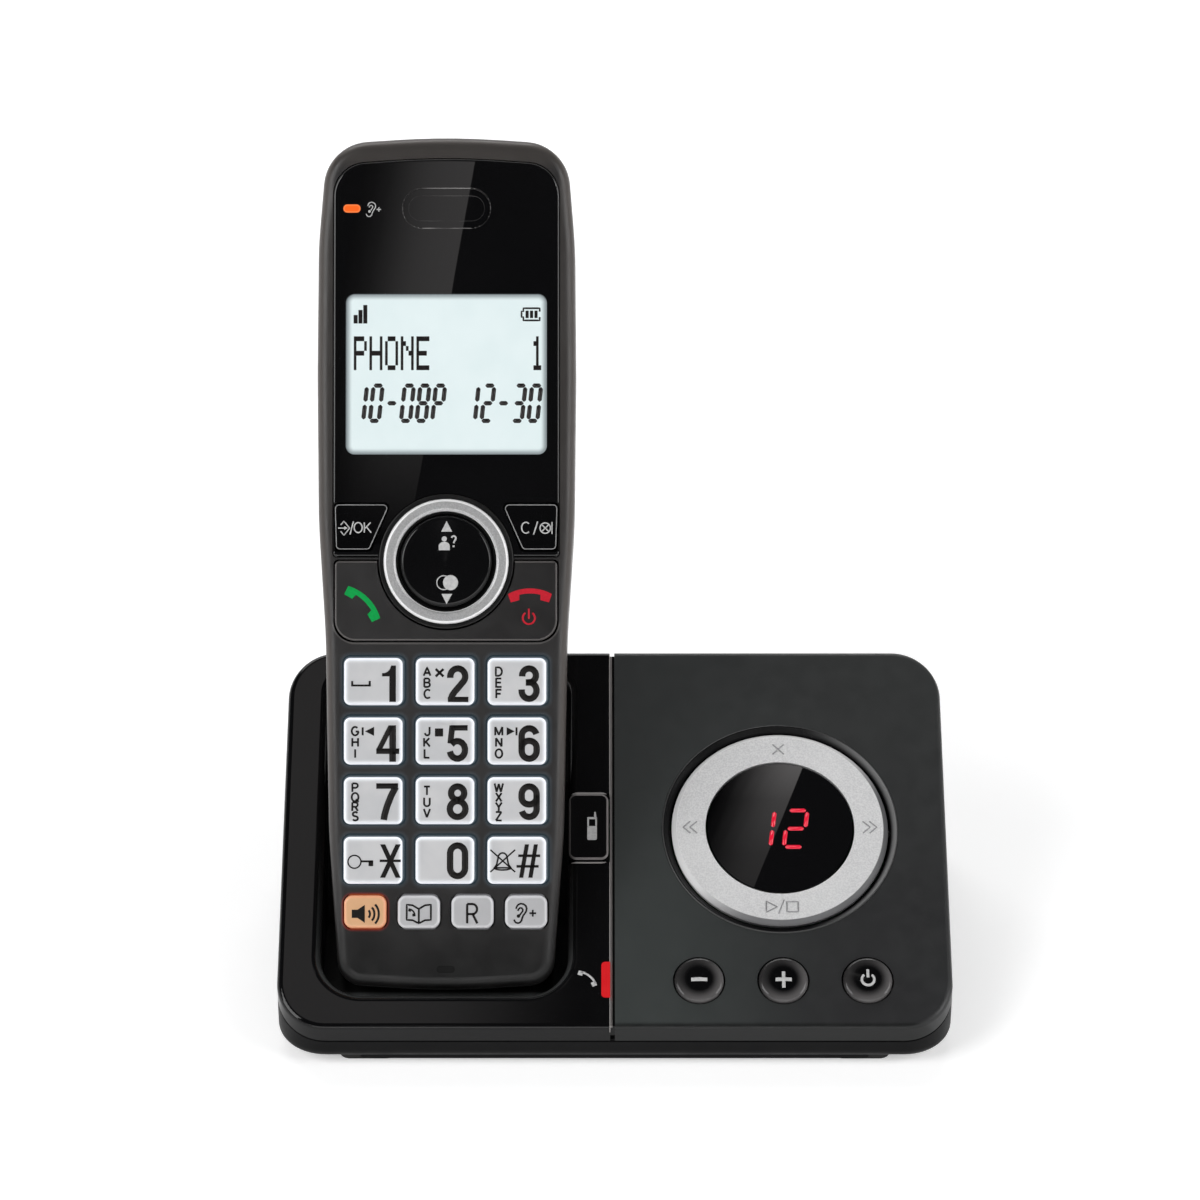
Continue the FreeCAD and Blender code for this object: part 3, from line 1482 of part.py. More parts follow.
def make_keypad():
    """The twelve numbered keys, from the bottom row up, and the four small keys below them."""
    rows = (("star", "0", "hash"), ("7", "8", "9"), ("4", "5", "6"), ("1", "2", "3"))
    for row, names in enumerate(rows):
        y = f"key_first_y + {row}*key_pitch_y"
        for name, x in zip(names, KEY_COLUMNS.values()):
            make_key(f"key_{name}", x, y, "key_width", "key_height", "key_corner", nib=name == "5")
    for name, x in SMALL_KEYS.items():
        make_key(name, x, "small_y", "small_width", "small_height", "small_corner", "-gap")
    make_soft_key("ok_key", "-1")
    make_soft_key("cancel_key", "1")
    make_call_end_key()
    make_nav_key()


MAT_BOTTOM = "(-mat_depth - mat_thickness)"


def make_keypad_membrane():
    """The rubber mat behind the keys, with a dome for each of the twelve large ones."""
    mat = plate("keypad_membrane", box_outline("-mat_width/2", "mat_width/2", "mat_low", "mat_high", "2"),
                MAT_BOTTOM, "mat_thickness")
    sketch = new_sketch(mat, level="-mat_depth")
    for x in KEY_COLUMNS.values():
        for row in range(4):
            draw_circle(sketch, "dome_radius", x, f"key_first_y + {row}*key_pitch_y")
    pad(mat, sketch, "mat_depth - key_depth - travel - 0.2")
    place_in_handset(mat)


def make_phone_board():
    board = plate("handset_circuit_board",
                  box_outline("-phone_board_width/2", "phone_board_width/2", "phone_board_low",
                              "phone_board_high", "2"),
                  f"{MAT_BOTTOM} - board_thickness", "board_thickness")
    place_in_handset(board)


def round_unit(name, radius, height, y, level):
    """A round capsule with a smaller back, such as a small loudspeaker."""
    unit = new_body(name)
    add_discs(unit, [("0", y)], radius, level, height)
    fillet(unit, f"{height}*0.15", on_level(level))
    place_in_handset(unit)


def make_battery_cells():
    """Two cells side by side, head to tail, each with its raised contact."""
    cells = new_body("battery_cells", several=True)
    level = "(door_thickness + gap + cell_radius - handset_thickness)"
    low = "((bay_low + bay_high)/2 - cell_length/2)"
    for side in ("-1", "1"):
        x = f"{side}*bay_width/4"
        sketch = new_sketch(cells, "XZ_Plane", f"-({low} + cell_length)")
        draw_circle(sketch, "cell_radius", x, level)
        pad(cells, sketch, "cell_length")
        end = f"{low} + cell_length + cell_nub" if side == "1" else low
        nub = new_sketch(cells, "XZ_Plane", f"-({end})")
        draw_circle(nub, "cell_nub_radius", x, level)
        pad(cells, nub, "cell_nub")
    place_in_handset(cells)


def make_battery_contacts():
    """Sprung plates at both ends of the bay."""
    contacts = new_body("battery_contacts", several=True)
    for low, high in (("bay_low", "bay_low + 0.6"), ("bay_high - 0.6", "bay_high")):
        strip = box_outline("-bay_width/2 + 1", "bay_width/2 - 1", low, high)
        add_plate(contacts, strip, "-handset_thickness + door_thickness + 1.5", "8")
    place_in_handset(contacts)


def make_handset_screws():
    screws = new_body("handset_screws", several=True)
    spots = [(f"{side}*phone_screw_x", "phone_screw_y") for side in ("-1", "1")]
    seat = "-handset_thickness + phone_screw_sink"
    add_discs(screws, spots, "phone_screw_head", f"{seat} - 1", "1")
    add_discs(screws, spots, "phone_screw_radius", seat, "phone_screw_length")
    place_in_handset(screws)


def make_base():
    make_bottom_shell()
    make_cradle_cover()
    make_panel_cover()
    make_ring_surround()
    make_ring_carrier()
    make_control_ring()
    make_display_window()
    make_display_module()
    for name, u in BUTTONS.items():
        make_round_button(name, u)
    make_find_button()
    make_in_use_light()
    make_base_board()
    make_button_mats()
    make_base_loudspeaker()
    make_phone_jack()
    make_power_jack()
    make_rubber_feet()
    make_base_screws()
    make_charging_pin("charging_pin_left", "-1")
    make_charging_pin("charging_pin_right", "1")


def make_handset():
    make_front_housing()
    make_rear_housing()
    make_battery_door()
    make_lens()
    make_lcd_module()
    make_boost_light()
    make_nav_ring()
    make_keypad()
    make_keypad_membrane()
    make_phone_board()
    round_unit("earpiece_speaker", "earpiece_radius", "earpiece_height", "(ear_low + ear_high)/2",
               "-face_thickness - 0.1 - earpiece_height")
    round_unit("handset_loudspeaker", "ringer_radius", "ringer_height", "ringer_y",
               "-handset_thickness + handset_wall")
    round_unit("microphone", "mic_capsule", "mic_height", "mic_y", "-face_thickness - mic_height")
    make_battery_cells()
    make_battery_contacts()
    make_charge_contacts()
    make_handset_screws()


def export_products():
    """Check every object of the document and every finished shape, then write the STEP files."""
    DOCUMENT.recompute()
    broken = [item.Name for item in DOCUMENT.Objects if {"Invalid", "Error"} & set(item.State)]
    broken += [item.Name for item in PRODUCTS if item.Shape.isNull() or not item.Shape.isValid()]
    if broken:
        raise RuntimeError(f"objects that failed: {broken}")
    os.makedirs("parts", exist_ok=True)
    for product in PRODUCTS:
        product.Shape.exportStep(f"parts/{product.Label}.step")
    print(f"{len(PRODUCTS)} sub-parts written")


fill_sheet()
make_base()
make_handset()
export_products()
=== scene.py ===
import bmesh
import bpy
from math import atan2, ceil, cos, hypot, pi, radians, sin
from mathutils import Matrix, Vector
from mathutils.bvhtree import BVHTree


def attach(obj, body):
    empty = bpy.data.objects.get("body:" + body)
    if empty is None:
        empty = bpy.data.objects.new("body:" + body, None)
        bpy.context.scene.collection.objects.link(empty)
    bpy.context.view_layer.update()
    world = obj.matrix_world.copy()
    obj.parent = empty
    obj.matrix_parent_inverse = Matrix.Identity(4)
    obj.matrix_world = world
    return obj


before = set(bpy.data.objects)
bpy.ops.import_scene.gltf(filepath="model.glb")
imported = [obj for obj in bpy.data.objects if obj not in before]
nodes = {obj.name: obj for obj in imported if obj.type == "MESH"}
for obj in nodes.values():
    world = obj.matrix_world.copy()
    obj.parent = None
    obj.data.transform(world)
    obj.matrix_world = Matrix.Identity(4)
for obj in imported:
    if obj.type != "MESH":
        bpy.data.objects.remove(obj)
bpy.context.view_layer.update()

# The telephone stands on a pale studio table with a low pale wall all round it.
# The camera looks down on it by 34 degrees from straight ahead, through a long lens.
scene = bpy.context.scene
scene.view_settings.view_transform = "Standard"
optics = bpy.data.cameras.new("studio_camera")
optics.lens = 135
optics.sensor_width = 36
optics.clip_start = 0.05
camera = bpy.data.objects.new("studio_camera", optics)
camera.location = (-0.002854, -0.7282, 0.5579)
camera.rotation_euler = (radians(56), 0, 0)
scene.collection.objects.link(camera)
scene.camera = camera


class Wiring:
    """A node tree under construction: each call adds one node and wires it."""
    family = ""

    def add(self, kind, settings=None, **inputs):
        node = self.tree.nodes.new(self.family + kind)
        for key, setting in (settings or {}).items():
            setattr(node, key, setting)
        for key, given in inputs.items():
            self.feed(node, int(key[1:]) if key[0] == "i" and key[1:].isdigit() else key.replace("_", " "), given)
        return node

    def feed(self, node, key, given):
        socket = node.inputs[key]
        if isinstance(given, bpy.types.Node):
            given = given.outputs[0]
        if isinstance(given, bpy.types.NodeSocket):
            self.tree.links.new(given, socket)
        else:
            socket.default_value = given


class Shader(Wiring):
    """A node material under construction."""
    family = "ShaderNode"

    def __init__(self, name):
        self.material = bpy.data.materials.new(name)
        self.material.use_nodes = True
        self.tree = self.material.node_tree
        self.tree.nodes.clear()
        self.out = self.tree.nodes.new("ShaderNodeOutputMaterial")

    def noise(self, scale, detail=2):
        spot = self.add("TexCoord").outputs["Object"]
        return self.add("TexNoise", Vector=spot, Scale=scale, Detail=detail, Roughness=0.5).outputs[0]

    def ramp(self, value, low, high, out_low=0.0, out_high=1.0, smooth=True):
        return self.add("MapRange", {"interpolation_type": "SMOOTHSTEP" if smooth else "LINEAR"}, Value=value,
                        From_Min=low, From_Max=high, To_Min=out_low, To_Max=out_high).outputs[0]

    def math(self, operation, a, b=0.5):
        return self.add("Math", {"operation": operation}, i0=a, i1=b).outputs[0]

    def plus(self, a, b):
        return self.math("ADD", a, b)

    def minus(self, a, b):
        return self.math("SUBTRACT", a, b)

    def times(self, a, *more):
        for b in more:
            a = self.math("MULTIPLY", a, b)
        return a

    def max(self, a, b):
        return self.math("MAXIMUM", a, b)

    def min(self, a, b):
        return self.math("MINIMUM", a, b)

    def abs(self, a):
        return self.math("ABSOLUTE", a)

    def length(self, x, y):
        """The distance from zero of a point at x and y."""
        return self.math("SQRT", self.plus(self.math("POWER", x, 2.0), self.math("POWER", y, 2.0)))

    def mix(self, factor, a, b):
        node = self.add("Mix", {"data_type": "RGBA"})
        self.feed(node, 0, factor)
        self.feed(node, 6, a)
        self.feed(node, 7, b)
        return node.outputs[2]

    def cloudy(self, scale, detail, a, b, low=0.3, high=0.7):
        """Two colours in the soft patches of a noise."""
        return self.mix(self.ramp(self.noise(scale, detail), low, high), a, b)

    def uneven(self, scale, detail, a, b):
        """An amount that wanders between two values."""
        return self.ramp(self.noise(scale, detail), 0.3, 0.7, a, b)

    def bump(self, height, depth, strength):
        return self.add("Bump", Height=height, Distance=depth, Strength=strength).outputs[0]

    def finish(self, **inputs):
        body = self.add("BsdfPrincipled")
        for key, given in inputs.items():
            self.feed(body, key.replace("_", " "), given)
        self.tree.links.new(body.outputs[0], self.out.inputs[0])
        return self.material


def srgb(red, green, blue):
    """A colour that is written as it shows, from 0 to 255, as the shader wants it."""
    parts = [value / 255 for value in (red, green, blue)]
    return tuple(p / 12.92 if p <= 0.04045 else ((p + 0.055) / 1.055) ** 2.4 for p in parts) + (1,)


def shade(colour, factor):
    return tuple(min(1, part * factor) for part in colour[:3]) + (1,)


paint = Shader("studio_white")
ground = paint.mix(paint.ramp(paint.noise(3.0), 0.3, 0.7), (0.83, 0.83, 0.83, 1), (0.85, 0.85, 0.85, 1))
matt = paint.add("BsdfDiffuse", Color=ground)
seen = paint.add("LightPath").outputs
direct = paint.max(seen["Is Camera Ray"], paint.max(seen["Is Glossy Ray"], seen["Is Transmission Ray"]))
glow = paint.add("Emission", Color=(1, 1, 1, 1), Strength=paint.times(direct, 0.42))
paint.tree.links.new(paint.add("AddShader", i0=matt, i1=glow).outputs[0], paint.out.inputs[0])

cove = bmesh.new()
steps = 96
middle = cove.verts.new((0, 0, 0))
turns = [(cos(2 * pi * k / steps), sin(2 * pi * k / steps)) for k in range(steps)]
previous = None
for radius, height in [(2.2, 0.0), (2.45, 0.03), (2.65, 0.12), (2.8, 0.3), (2.85, 0.6), (2.85, 1.1)]:
    ring = [cove.verts.new((radius * x, radius * y, height)) for x, y in turns]
    for k in range(steps):
        after = (k + 1) % steps
        if previous:
            cove.faces.new((previous[k], ring[k], ring[after], previous[after]))
        else:
            cove.faces.new((middle, ring[k], ring[after]))
    previous = ring
mesh = bpy.data.meshes.new("studio_floor")
cove.to_mesh(mesh)
cove.free()
mesh.polygons.foreach_set("use_smooth", [True] * len(mesh.polygons))
mesh.materials.append(paint.material)
floor = bpy.data.objects.new("studio_floor", mesh)
scene.collection.objects.link(floor)

world = bpy.data.worlds.new("studio_dark")
world.use_nodes = True
world.node_tree.nodes["Background"].inputs[0].default_value = (0.06, 0.06, 0.063, 1)
scene.world = world


def softbox(name, place, size, watts, aim=(0, 0, 0.06)):
    """A soft rectangular studio lamp that faces the point it is aimed at."""
    lamp = bpy.data.lights.new(name, "AREA")
    lamp.shape = "RECTANGLE"
    lamp.size, lamp.size_y = size
    lamp.energy = watts
    obj = bpy.data.objects.new(name, lamp)
    obj.location = place
    obj.rotation_euler = (Vector(aim) - Vector(place)).to_track_quat("-Z", "Y").to_euler()
    obj.visible_camera = False
    scene.collection.objects.link(obj)


softbox("lamp_left", (-1.5, -0.7, 1.3), (1.1, 1.4), 24)
softbox("lamp_right", (1.6, -0.5, 1.1), (1.0, 1.4), 18)
softbox("lamp_back", (-0.3, 1.5, 1.5), (1.8, 0.9), 19)
softbox("lamp_front", (0.2, -1.7, 0.5), (2.2, 0.5), 6)

card = Shader("card_light")
lit = card.add("Attribute", {"attribute_name": "level"}).outputs["Fac"]
card.tree.links.new(card.add("Emission", Color=(1, 0.965, 0.96, 1), Strength=lit).outputs[0], card.out.inputs[0])


def reflector(name, rows, away, profile):
    """A studio card that only gloss shows: lit along one edge and fading away from it."""
    mesh = bpy.data.meshes.new(name)
    wide = len(profile)
    points = [tuple(Vector(edge) + Vector(away) * k / (wide - 1)) for edge, level in rows for k in range(wide)]
    faces = [(r * wide + k, r * wide + k + 1, (r + 1) * wide + k + 1, (r + 1) * wide + k)
             for r in range(len(rows) - 1) for k in range(wide - 1)]
    mesh.from_pydata(points, [], faces)
    levels = [level * part for edge, level in rows for part in profile]
    mesh.attributes.new("level", "FLOAT", "POINT").data.foreach_set("value", levels)
    mesh.materials.append(card.material)
    obj = bpy.data.objects.new(name, mesh)
    obj.visible_camera = obj.visible_diffuse = obj.visible_shadow = obj.visible_transmission = False
    scene.collection.objects.link(obj)


reflector("card_over_handset", [((-0.0605, -0.9218, 1.0872), 0.95), ((-0.0775, -0.9846, 1.0161), 0.85),
                                ((-0.0925, -1.0400, 0.9534), 0.25), ((-0.0981, -1.0608, 0.9298), 0.0)],
          (-0.0540, 0.0014, -0.0013), (1, 0.96, 0.9, 0.8, 0.62, 0.4, 0.21, 0.11, 0.065))
reflector("card_over_window", [((0.1022, 0.095, 1.3), 2.4), ((0.0940, 0.075, 1.3), 2.2), ((0.0878, 0.060, 1.3), 1.2),
                               ((0.0772, 0.034, 1.3), 0.6), ((0.0673, 0.010, 1.3), 0.4)],
          (-0.036, 0, 0), (1, 0.93, 0.75, 0.5, 0.25, 0.07, 0))
reflector("card_over_cradle", [((-0.20, -0.08, 1.3), 0.8), ((-0.20, 0.15, 1.3), 0.8)],
          (0.19, 0, 0), (1, 1, 1, 1, 1, 0.95, 0.6, 0.2, 0))


def dress(material, *names):
    """Give pieces of the frame their finish."""
    for name in names:
        data = nodes[name].data
        data.materials.clear()
        data.materials.append(material)


# The bottom shell is one moulding of black styrene with a fine spark-eroded grain.
# Line and power sockets of the same plastic are clipped in its back wall.
def grained(name, colour, roughness, depth=0.00002, fine=9000, cloud=60, gleam=0.4):
    """Moulded plastic with a fine grain and faint clouds in its colour and sheen."""
    skin = Shader(name)
    tone = skin.cloudy(cloud, 3, shade(colour, 0.9), shade(colour, 1.1))
    rough = skin.ramp(skin.noise(220, 3), 0.25, 0.75, roughness - 0.05, roughness + 0.06)
    return skin.finish(Base_Color=tone, Roughness=rough, Specular_IOR_Level=gleam,
                       Normal=skin.bump(skin.noise(fine, 2), depth, 0.5))


dress(grained("black_grained_shell", srgb(11, 11, 12), 0.46, gleam=0.12), "base_bottom_shell")
dress(grained("socket_black", srgb(20, 20, 21), 0.5, gleam=0.25), "phone_jack", "power_jack")

# Four feet of soft black rubber are pressed into pockets of the bottom.
# Rubber from the press is matt, with a dusty bloom.
rubber = Shader("rubber_bloom")
bloom = rubber.ramp(rubber.noise(400, 4), 0.35, 0.75)
dress(rubber.finish(Base_Color=rubber.mix(bloom, srgb(20, 20, 20), srgb(34, 33, 32)),
                    Roughness=rubber.ramp(bloom, 0, 1, 0.7, 0.85),
                    Normal=rubber.bump(rubber.noise(2500, 3), 0.00004, 0.6)), "rubber_feet")

# Self-tapping screws of zinc-plated steel hold the covers from below and the handset from behind.
# Each has a flat head with a driving recess.
zinc = Shader("zinc_plate")
turned = zinc.ramp(zinc.noise(1500, 3), 0.3, 0.7)
dress(zinc.finish(Base_Color=zinc.mix(turned, (0.42, 0.43, 0.44, 1), (0.56, 0.56, 0.56, 1)), Metallic=1.0,
                  Roughness=zinc.ramp(turned, 0, 1, 0.24, 0.42), Normal=zinc.bump(turned, 0.00001, 0.6)),
      "base_screws", "handset_screws")

# The cradle cover is moulded in black acrylic and comes from a polished tool, well and all.
# Its gloss has the faintest ripple, and a little more haze where hands wipe it.
# Both the slope of the base and the face of the handset are given by an origin and a rise from level.
SLOPE = (0, -0.061, 0.0095), radians(25)
HANDSET = (-0.0325, -0.057297, 0.00775), radians(54)


def local(skin, face, what="Object", origin=None, unit=0.001):
    """Object coordinates turned into the frame of a sloping face, in millimetres."""
    turn = skin.add("Mapping", {"vector_type": "TEXTURE"}, Vector=skin.add("TexCoord").outputs[what],
                    Location=face[0] if origin is None else origin, Rotation=(face[1], 0, 0), Scale=(unit,) * 3)
    return skin.add("SeparateXYZ", Vector=turn).outputs


def facing(skin, face):
    """Which way a surface looks, in the frame of a sloping face."""
    return local(skin, face, "Normal", (0, 0, 0), 1)


def polished(skin, tone, low, high, gleam=0.5, matt=None):
    """A mirror-like skin with a soft ripple and patches of haze, dull where matt is high."""
    rough = skin.ramp(skin.noise(90, 4), 0.35, 0.75, low, high)
    return skin.finish(Base_Color=tone, Roughness=rough if matt is None else skin.max(rough, matt),
                       Specular_IOR_Level=gleam, Normal=skin.bump(skin.noise(35, 1), 0.00001, 0.4))


def gloss(name, colour, roughness=0.05, haze=0.03, gleam=0.5):
    """Polished plastic of one colour."""
    skin = Shader(name)
    return polished(skin, skin.cloudy(50, 3, colour, shade(colour, 1.15)), roughness, roughness + haze, gleam)


def edge_distance(skin, x, y, half_x, half_y, corner):
    """How far a point lies outside a rounded rectangle, negative within it."""
    over_x = skin.minus(skin.abs(x), half_x - corner)
    over_y = skin.minus(skin.abs(y), half_y - corner)
    out = skin.length(skin.max(over_x, 0.0), skin.max(over_y, 0.0))
    within = skin.min(skin.max(over_x, over_y), 0.0)
    return skin.minus(skin.plus(out, within), corner)


def finder_edge(skin, place):
    """How far a point lies outside the finder key."""
    return edge_distance(skin, skin.plus(place[0], 5.1), skin.minus(place[1], 43.05), 3.9, 7.25, 1.5)


def line_between(skin, value, low, high, soft=0.12):
    """One between two values and nothing outside them."""
    return skin.times(skin.ramp(value, low - soft, low), skin.ramp(value, high, high + soft, 1.0, 0.0))


cradle = Shader("cradle_gloss")
u, v, w = local(cradle, SLOPE)
x, y, z = cradle.add("SeparateXYZ", Vector=cradle.add("TexCoord").outputs["Object"]).outputs
# Painted light on the cradle: a grey reflection down the upper wall of the well, strongest at its front; pale highlight
# lines along the split and round the finder key; a pale painted band on the front of the well's floor. The rest of the
# deep well is a painted shade darker than the cover.
inner = cradle.times(cradle.ramp(x, -0.0615, -0.0610), cradle.ramp(x, -0.0055, -0.0050, 1.0, 0.0))
inner = cradle.times(inner, cradle.times(cradle.ramp(v, 4.9, 5.2), cradle.ramp(y, 0.0125, 0.0130, 1.0, 0.0)))
deep = cradle.times(inner, cradle.ramp(w, -3.6, -2.9, 1.0, 0.0))
mouth_reflection = cradle.times(inner, line_between(cradle, w, -1.8, -0.25), cradle.ramp(v, 12, 44, 1.0, 0.0))
split_highlight = cradle.times(cradle.ramp(w, -1.4, -1.1), line_between(cradle, u, -0.98, -0.5, 0.08))
finder_highlight = cradle.times(cradle.ramp(w, -0.6, -0.3), line_between(cradle, finder_edge(cradle, (u, v)), 0.3, 0.56))
floor_light_band = cradle.times(cradle.ramp(y, -0.0488, -0.0476, 1.0, 0.0), cradle.ramp(z, 0.0078, 0.0080, 1.0, 0.0))
tone = cradle.mix(mouth_reflection, cradle.cloudy(50, 3, srgb(8, 8, 9), srgb(10, 10, 11)), srgb(58, 59, 59))
tone = cradle.mix(cradle.max(split_highlight, finder_highlight), tone, srgb(172, 168, 166))
tone = cradle.mix(deep, tone, cradle.mix(floor_light_band, srgb(4, 4, 4), srgb(88, 90, 90)))
dress(polished(cradle, tone, 0.05, 0.08, 0.3, cradle.times(deep, 0.65)), "cradle_cover")

# The panel cover is the same kind of moulding with a satin skin, a shade lighter and greener.
# Its grey is lighter and greener towards the split, darker towards its right, and evens out towards the back.
def satin(skin, tone, low=0.3, high=0.4, gleam=0.3, **more):
    """Moulded plastic with a fine even grain and a soft sheen."""
    return skin.finish(Base_Color=tone, Specular_IOR_Level=gleam, Roughness=skin.uneven(260, 3, low, high),
                       Normal=skin.bump(skin.noise(7000, 2), 0.000012, 0.5), **more)


panel = Shader("panel_satin")
u, v = local(panel, SLOPE)[:2]
back = panel.ramp(v, 0, 80)
tone = panel.mix(panel.ramp(u, 4, 48), panel.mix(back, srgb(56, 60, 59), srgb(50, 52, 52)),
                 panel.mix(back, srgb(39, 39, 40), srgb(45, 46, 46)))
tone = panel.mix(panel.uneven(70, 4, 0, 0.15), tone, srgb(58, 61, 60))
# Painted shade: the rounded front edge is painted near-black, darker than the top.
tone = panel.mix(panel.ramp(v, 0.2, 1.2, 1.0, 0.0), tone, srgb(20, 21, 21))
dress(satin(panel, tone, 0.33, 0.42, 0.35), "control_panel_cover")

# The surround of the message ring is a black gloss moulding with a painted highlight line round its lip.
# It is pressed into the panel from below and holds the ring's carrier.
RING_U, RING_V, RING_INNER, RING_FLAT, RIM_RADIUS = 32.4, 43.0, 14.6, 20.3, 22.95


def ring_distance(skin, u, v):
    """How far a point lies from the axis of the message ring, in millimetres."""
    return skin.length(skin.minus(u, RING_U), skin.minus(v, RING_V))


bezel = Shader("bezel_gloss")
u, v = local(bezel, SLOPE)[:2]
reach = ring_distance(bezel, u, v)
# Painted highlight: a grey line round the outer lip. Painted reflection: a pale grey crescent on the right of the dish.
rim = bezel.ramp(reach, RIM_RADIUS - 0.2, RIM_RADIUS)
right_reflection = bezel.times(bezel.ramp(u, RING_U + 4, RING_U + 20), bezel.ramp(reach, 21.7, 22.6))
tone = bezel.mix(rim, bezel.mix(right_reflection, srgb(5, 5, 6), srgb(118, 118, 118)), srgb(78, 78, 78))
dress(bezel.finish(Base_Color=tone, Specular_IOR_Level=0.12, Roughness=bezel.uneven(150, 3, 0.16, 0.22),
                   Normal=bezel.bump(bezel.noise(60, 1), 0.00001, 0.4)), "ring_surround")

# The message ring is moulded and plated: a satin silver face with a bead-blasted grain,
# and a bevel round it whose colour is painted light, bright at its upper left and dark at its lower right.
# Raised signs stand at its four ends.
silver = Shader("ring_silver")
u, v = local(silver, SLOPE)[:2]
bright = silver.ramp(ring_distance(silver, u, v), RING_FLAT - 0.15, RING_FLAT + 0.05)
light_from_upper_left = silver.ramp(silver.minus(silver.minus(v, u), RING_V - RING_U), -16, 12)
blast = silver.noise(3200, 2)
tone = silver.mix(silver.ramp(blast, 0.3, 0.7), (0.70, 0.70, 0.705, 1), (0.86, 0.86, 0.86, 1))
tone = silver.mix(silver.uneven(45, 2, 0, 0.3), tone, (0.92, 0.92, 0.915, 1))
painted_bevel_light = silver.mix(light_from_upper_left, (0.14, 0.14, 0.145, 1), (1, 1, 1, 1))
dress(silver.finish(Base_Color=silver.mix(bright, tone, painted_bevel_light), Metallic=silver.ramp(bright, 0, 1, 0.35, 0.12),
                    Roughness=silver.mix(bright, silver.ramp(blast, 0.3, 0.7, 0.38, 0.52), (0.25, 0.25, 0.25, 1)),
                    Normal=silver.bump(blast, 0.000008, 0.5)), "control_ring")


def on_slope(x=0, y=0, face=SLOPE):
    """Where a print's own flat drawing, in millimetres, lies on a sloping face."""
    return (Matrix.Translation(face[0]) @ Matrix.Rotation(face[1], 4, "X")
            @ Matrix.Translation((x / 1000, y / 1000, 0)) @ Matrix.Scale(0.001, 4))


def on_handset(x=0, y=0):
    return on_slope(x, y, HANDSET)


class Growing(Wiring):
    """A geometry tree under construction, which ends by giving its realized mesh an ink."""

    def __init__(self, name, **inputs):
        self.tree = bpy.data.node_groups.new(name, "GeometryNodeTree")
        face = self.tree.interface
        self.keys = {label: face.new_socket(label, in_out="INPUT", socket_type="NodeSocket" + kind).identifier
                     for label, kind in inputs.items()}
        face.new_socket("Print", in_out="OUTPUT", socket_type="NodeSocketGeometry")
        self.given = self.tree.nodes.new("NodeGroupInput").outputs

    def end(self, geometry):
        whole = self.add("GeometryNodeRealizeInstances", Geometry=geometry)
        inked = self.add("GeometryNodeSetMaterial", Geometry=whole, Material=self.given["Ink"])
        self.tree.links.new(inked.outputs[0], self.tree.nodes.new("NodeGroupOutput").inputs[0])


def grown(name, mesh, growing, **values):
    """A piece whose mesh is what a geometry tree makes of a few points and lines."""
    piece = bpy.data.objects.new(name, mesh)
    scene.collection.objects.link(piece)
    modifier = piece.modifiers.new("grown", "NODES")
    modifier.node_group = growing.tree
    for label, value in values.items():
        modifier[growing.keys[label]] = value
    piece.data = bpy.data.meshes.new_from_object(piece.evaluated_get(bpy.context.evaluated_depsgraph_get()))
    piece.modifiers.clear()
    return piece


stroke = Growing("printed_line", Path="Geometry", Thickness="Float", Ink="Material")
curve = stroke.add("GeometryNodeMeshToCurve", Mesh=stroke.given["Path"])
wide = stroke.add("GeometryNodeInputNamedAttribute", {"data_type": "FLOAT"}, Name="width")
square = stroke.add("GeometryNodeCurvePrimitiveQuadrilateral", Width=1.0, Height=1.0)
swept = stroke.add("GeometryNodeCurveToMesh", Curve=curve, Profile_Curve=square, Scale=wide, Fill_Caps=True)
at = stroke.add("ShaderNodeSeparateXYZ", Vector=stroke.add("GeometryNodeInputPosition"))
upper = stroke.add("ShaderNodeMath", {"operation": "GREATER_THAN"}, i0=at.outputs[2], i1=0.0)
level = stroke.add("ShaderNodeMath", {"operation": "MULTIPLY"}, i0=upper, i1=stroke.given["Thickness"])
flat = stroke.add("ShaderNodeCombineXYZ", X=at.outputs[0], Y=at.outputs[1], Z=level)
stroke.end(stroke.add("GeometryNodeSetPosition", Geometry=swept, Position=flat))

surfaces = {}


def surface_of(name):
    """A tree of a node's faces, to find where a print meets its surface."""
    if name not in surfaces:
        mesh = nodes[name].data
        surfaces[name] = BVHTree.FromPolygons([v.co for v in mesh.vertices], [p.vertices for p in mesh.polygons])
    return surfaces[name]


